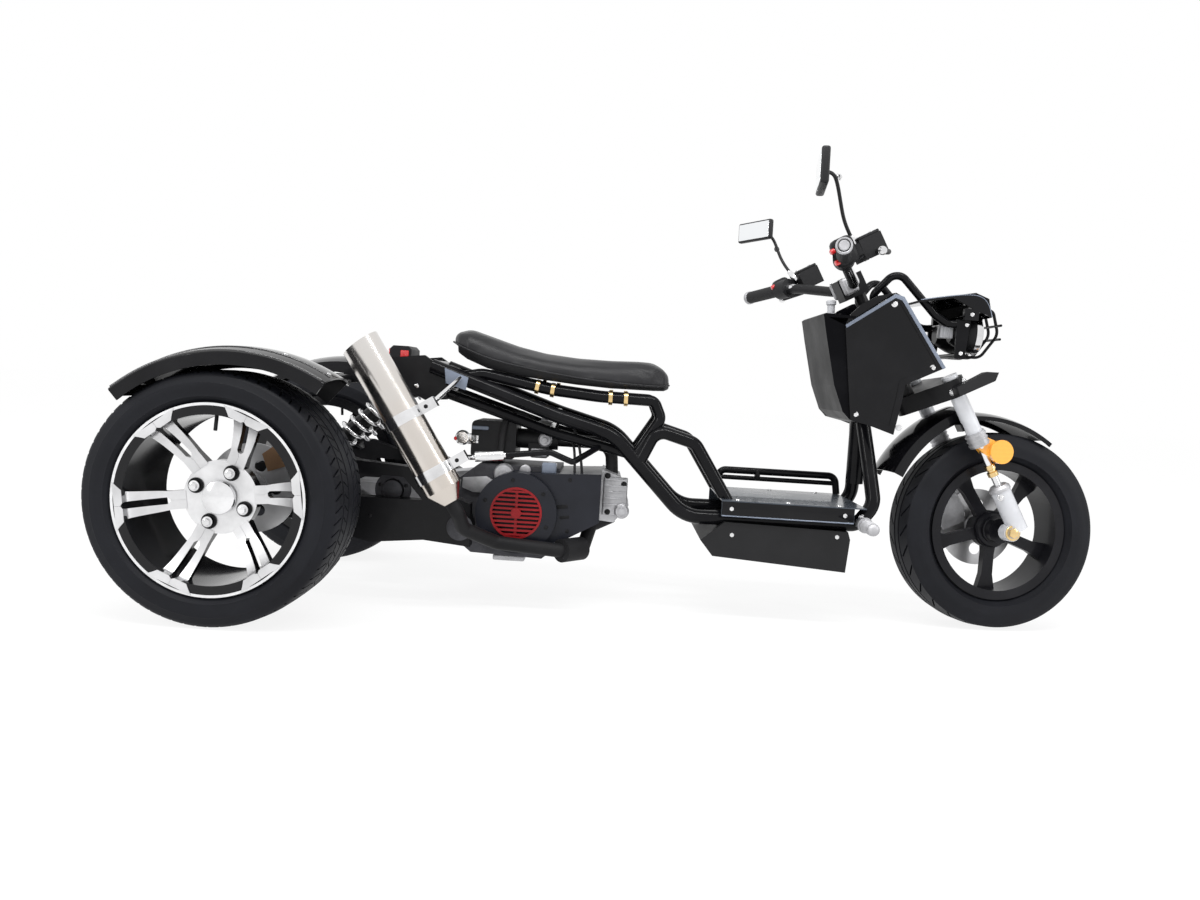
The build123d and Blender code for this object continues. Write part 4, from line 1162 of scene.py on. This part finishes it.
class TRIKE_OT_fork_fittings(bpy.types.Operator):
    """Unions, collar rings, axle nuts, hub rings and the bolts of the fork and the brake disc"""
    bl_idname = "trike.fork_fittings"
    bl_label = "Fork fittings"

    def execute(self, context):
        hub_x, _, hub_z = HUB_LOCAL
        unions, rings, places = [], [], []
        for side in (-1, 1):
            leg = (76, side * 96)
            unions.append(knob([(8, -14), (12, -14), (12.5, -4), (9.5, -2), (9.5, 2), (12.5, 4), (12, 14), (8, 14),
                                (8, -14)], (*leg, 392), UP, fork))
            for z in (463, 474, 485):
                rings.append(knob([(22, -2), (24.2, -2), (24.8, 0), (24.2, 2), (22, 2), (22, -2)], (*leg, z),
                                  UP, fork))
            rings.append(knob([(22, -4), (24.5, -4), (24.5, 3), (19, 9), (10, 10), (8, 10), (8, -4), (22, -4)],
                              (*leg, 344), UP, fork))
            way = side * FORK_ACROSS
            for x, y, z in ((72, 108, 456), (58, 119, 602), (92, 119, 614), (60, 118, 330)):
                places.append((fork(x, side * y, z), way))
            unions.append(bolt(fork(hub_x, side * 113.5, hub_z), way, 0.0125, 0.008))
        group("leg_unions", unions, "steering", "brass", "chrome")
        group("collar_rings", rings, "steering", "silver", "silver")
        bolts("fork_bolts", places, None, 0.0055, 0.005, "steering")
        hub = [knob([(8.2, 42), (27, 42), (29, 45), (29, 52), (24, 56), (8.2, 56), (8.2, 42)], HUB_LOCAL,
                    RIGHT, fork, 48),
               knob([(30, 14), (43, 14), (43, 20), (40, 24), (33, 25), (33, 34), (30, 35), (30, 14)], HUB_LOCAL,
                    RIGHT, fork, 48)]
        group("hub_rings", hub, "front_wheel", "front_rim", "rim_black")
        disc_bolts = [(about(HUB, FORK_ACROSS, radians(60 * step)) @ fork(hub_x + 38, 65, hub_z), FORK_ACROSS)
                      for step in range(6)]
        bolts("disc_bolts", disc_bolts, None, 0.0045, 0.004, "front_wheel")
        return {"FINISHED"}


# Deck and rear

class TRIKE_OT_body_fittings(bpy.types.Operator):
    """Deck trims, bolts, rear fender guards and beads, peg rings, the tail lens and plates on the frame"""
    bl_idname = "trike.body_fittings"
    bl_label = "Body fittings"

    def skirt(self, way):
        """Inner guard hanging from a rear fender's inner edge down to the tyre."""
        hub = at(0, way * 291, 260)
        upper = [at(*over_wheel(352, way * 291, 60 + 2.9 * step)) for step in range(25)]
        lower = [hub + (point - hub).normalized() * 0.2645 for point in upper]
        return ribbon([chain_of(upper), chain_of(lower)], 0.002)

    def execute(self, context):
        side = flat(((1053, 252), (1356, 252), (1356, 284), (1053, 284)), -151.4, 1.4, 0.6)
        group("deck_sides", both(side), "chassis", "gloss_panel", "gloss_panel")
        lip = rod(((1053, -150.8, 251), (1200, -150.8, 251), (1356, -150.8, 251)), 1.6)
        group("deck_lips", both(lip), "chassis", "trim_blue", "deck_blue")
        places = []
        for way in (-1, 1):
            for x, y, z in ((1081, 140, 206), (1323, 140, 216), (1380, 127, 262), (1075, 151.4, 268),
                            (1335, 151.4, 268)):
                places.append((at(x, way * y, z), (0, way, 0)))
            for x in (1089, 1206, 1324):
                places.append((at(x, way * 138, 287), UP))
            for angle in (61.5, 76.1, 114.9, 129):
                foot = at(*over_wheel(371.2, way * 420, angle))
                places.append((foot, foot - at(FENDER_X, way * 420, FENDER_Z)))
            for x, z in ((372, 560), (230, 540), (330, 505)):
                places.append((at(x, way * 112, z), (0, way, 0)))
        bolts("body_bolts", places, None, 0.0055, 0.0045, "chassis")
        skirts, beads = [], []
        for way in (-1, 1):
            skirts.append(self.skirt(way))
            skirts.append(brick((-183.9, way * 386, 467.5), (2, 188, 26), 0.6, (0, -39.5, 0)))
            for radius, y, thickness in ((362, 480, 3), (370.4, 440, 2.4)):
                beads.append(rod([over_wheel(radius, way * y, angle) for angle in range(60, 131, 5)], thickness))
        group("fender_skirts", skirts, "chassis", "satin_black", "satin_black")
        group("fender_beads", beads, "chassis", "bead_black", "gloss_panel", angle=60)
        rings = []
        for way in (-1, 1):
            profile = []
            for step in range(8):
                low = 172 + 7 * step
                profile += [(13, low), (14.8, low + 1), (14.8, low + 4), (13, low + 5)]
            rings.append(knob(profile + [(13, 172)], (1380, 0, 250), (0, way, 0)))
            rings.append(knob([(0, 231.5), (13.6, 231.5), (12, 235), (7, 238), (0, 239)], (1380, 0, 250),
                              (0, way, 0)))
        group("peg_rings", rings, "chassis", "silver", "silver")
        lens_piece = [brick((247, 0, 575), (7, 84, 32), 3), brick((284, -49, 576), (20, 5, 22), 2),
                      brick((284, 49, 576), (20, 5, 22), 2)]
        group("tail_lens", lens_piece, "chassis", "lens_red", "lens_red")
        tag = flat(((396, 551), (452, 532), (447, 502), (400, 516)), -131, 3, 1)
        group("frame_plate", both(tag), "chassis", "trim_blue", "deck_blue")
        clamp = brick((1172, 138, 324), (13, 22, 30), 4)
        dress(clamp, "rail_clamp", "chassis", "satin_black", "satin_black")
        return {"FINISHED"}


# Stage

class TRIKE_OT_finishes(bpy.types.Operator):
    """Every node's finish"""
    bl_idname = "trike.finishes"
    bl_label = "Finishes"

    def execute(self, context):
        make_finishes()
        slots = {entry["node"]: entry["material_slot"] for entry in frame["record"]["subparts"]}
        for name, node in NODES.items():
            node.data.materials.clear()
            node.data.materials.append(FINISHES[NODE_FINISH.get(name, slots[name])])
            smooth(node, 32)
        deselect()
        return {"FINISHED"}


class TRIKE_OT_stage(bpy.types.Operator):
    """Pale floor, plain sky, soft lights and the camera"""
    bl_idname = "trike.stage"
    bl_label = "Stage"

    eye = (793.155, -2339.423, 544.402)
    yaw, pitch, roll = 0.7341, 4.1721, -3.4281
    focal_pixels = 957.489
    picture_width = 1200
    sensor = 36

    def floor(self):
        f = Finish("pale_floor")
        cloud = f.noise(2, 2)
        pale = f.blend(cloud, grey(0.93), grey(0.96))
        shade = f.node("ShaderNodeBsdfDiffuse", None, {"Color": pale})
        glow = f.node("ShaderNodeEmission", None, {"Color": grey(1.0), "Strength": 1.06})
        mix = f.node("ShaderNodeMixShader", None, {0: seen_plainly(f) * 0.82, 1: shade["BSDF"], 2: glow["Emission"]})
        f.node("ShaderNodeOutputMaterial", None, {"Surface": mix["Shader"]})
        bpy.ops.mesh.primitive_plane_add(size=40, location=(0, 0, 0))
        plane = bpy.context.object
        plane.name = "floor"
        plane.data.materials.append(f.material)

    def sky(self):
        world = bpy.data.worlds.new("plain_sky")
        bpy.context.scene.world = world
        f = Finish("plain_sky", world)
        dim = f.node("ShaderNodeBackground", None, {"Color": grey(1.0), "Strength": sizes().world_light})
        white = f.node("ShaderNodeBackground", None, {"Color": grey(1.0), "Strength": 1.0})
        mix = f.node("ShaderNodeMixShader", None, {0: seen_plainly(f), 1: dim["Background"], 2: white["Background"]})
        f.node("ShaderNodeOutputWorld", None, {"Surface": mix["Shader"]})

    def lamp(self, name, place, target, size, power):
        data = bpy.data.lights.new(name, "AREA")
        data.shape = "RECTANGLE"
        data.size, data.size_y = size
        data.energy = power
        lamp = bpy.data.objects.new(name, data)
        bpy.context.scene.collection.objects.link(lamp)
        lamp.location = place
        lamp.rotation_euler = (Vector(target) - Vector(place)).to_track_quat("-Z", "Y").to_euler()

    def camera(self):
        data = bpy.data.cameras.new("photo_view")
        data.sensor_fit = "HORIZONTAL"
        data.sensor_width = self.sensor
        data.lens = self.focal_pixels * self.sensor / self.picture_width
        camera = bpy.data.objects.new("photo_view", data)
        bpy.context.scene.collection.objects.link(camera)
        look = (Matrix.Rotation(radians(self.yaw), 4, "Z") @ Matrix.Rotation(-radians(self.pitch), 4, "X")
                @ Matrix.Rotation(radians(self.roll), 4, "Y") @ Matrix.Rotation(pi / 2, 4, "X"))
        camera.matrix_world = Matrix.Translation(at(*self.eye)) @ look
        bpy.context.scene.camera = camera

    def execute(self, context):
        deselect()
        self.floor()
        self.sky()
        power = sizes().key_light
        self.lamp("key", (0.1, -1.5, 3.0), (0, 0, 0.3), (3.4, 0.22), power)
        self.lamp("side", (-3.0, -2.4, 1.9), (0, 0, 0.4), (0.3, 2.0), 0.45 * power)
        self.lamp("front", (3.4, -1.6, 1.9), (0, 0, 0.4), (0.3, 2.0), 0.4 * power)
        self.camera()
        context.scene.view_settings.view_transform = "Standard"
        return {"FINISHED"}


class TRIKE_PT_panel(bpy.types.Panel):
    """Lists the trike's steps"""
    bl_label = "Motor trike"
    bl_idname = "TRIKE_PT_panel"
    bl_space_type = "VIEW_3D"
    bl_region_type = "UI"
    bl_category = "Trike"

    def draw(self, context):
        for kind, settings in ((Sizes, context.scene.trike_sizes), (Colours, context.scene.trike_colours)):
            for name in kind.__annotations__:
                self.layout.prop(settings, name)
        for step in STEPS:
            self.layout.operator(step.bl_idname)


STEPS = (TRIKE_OT_finishes, TRIKE_OT_tyres, TRIKE_OT_wheel_fittings, TRIKE_OT_seat, TRIKE_OT_springs,
         TRIKE_OT_mirrors, TRIKE_OT_bar_fittings, TRIKE_OT_front_fittings, TRIKE_OT_engine_details,
         TRIKE_OT_fork_fittings, TRIKE_OT_body_fittings, TRIKE_OT_stage)
CLASSES = (Sizes, Colours, *STEPS, TRIKE_PT_panel)


def register():
    for item in CLASSES:
        bpy.utils.register_class(item)
    bpy.types.Scene.trike_sizes = bpy.props.PointerProperty(type=Sizes)
    bpy.types.Scene.trike_colours = bpy.props.PointerProperty(type=Colours)


def unregister():
    del bpy.types.Scene.trike_colours
    del bpy.types.Scene.trike_sizes
    for item in reversed(CLASSES):
        bpy.utils.unregister_class(item)


def main():
    register()
    for step in STEPS:
        group, name = step.bl_idname.split(".")
        getattr(getattr(bpy.ops, group), name)()


if __name__ == "__main__":
    main()
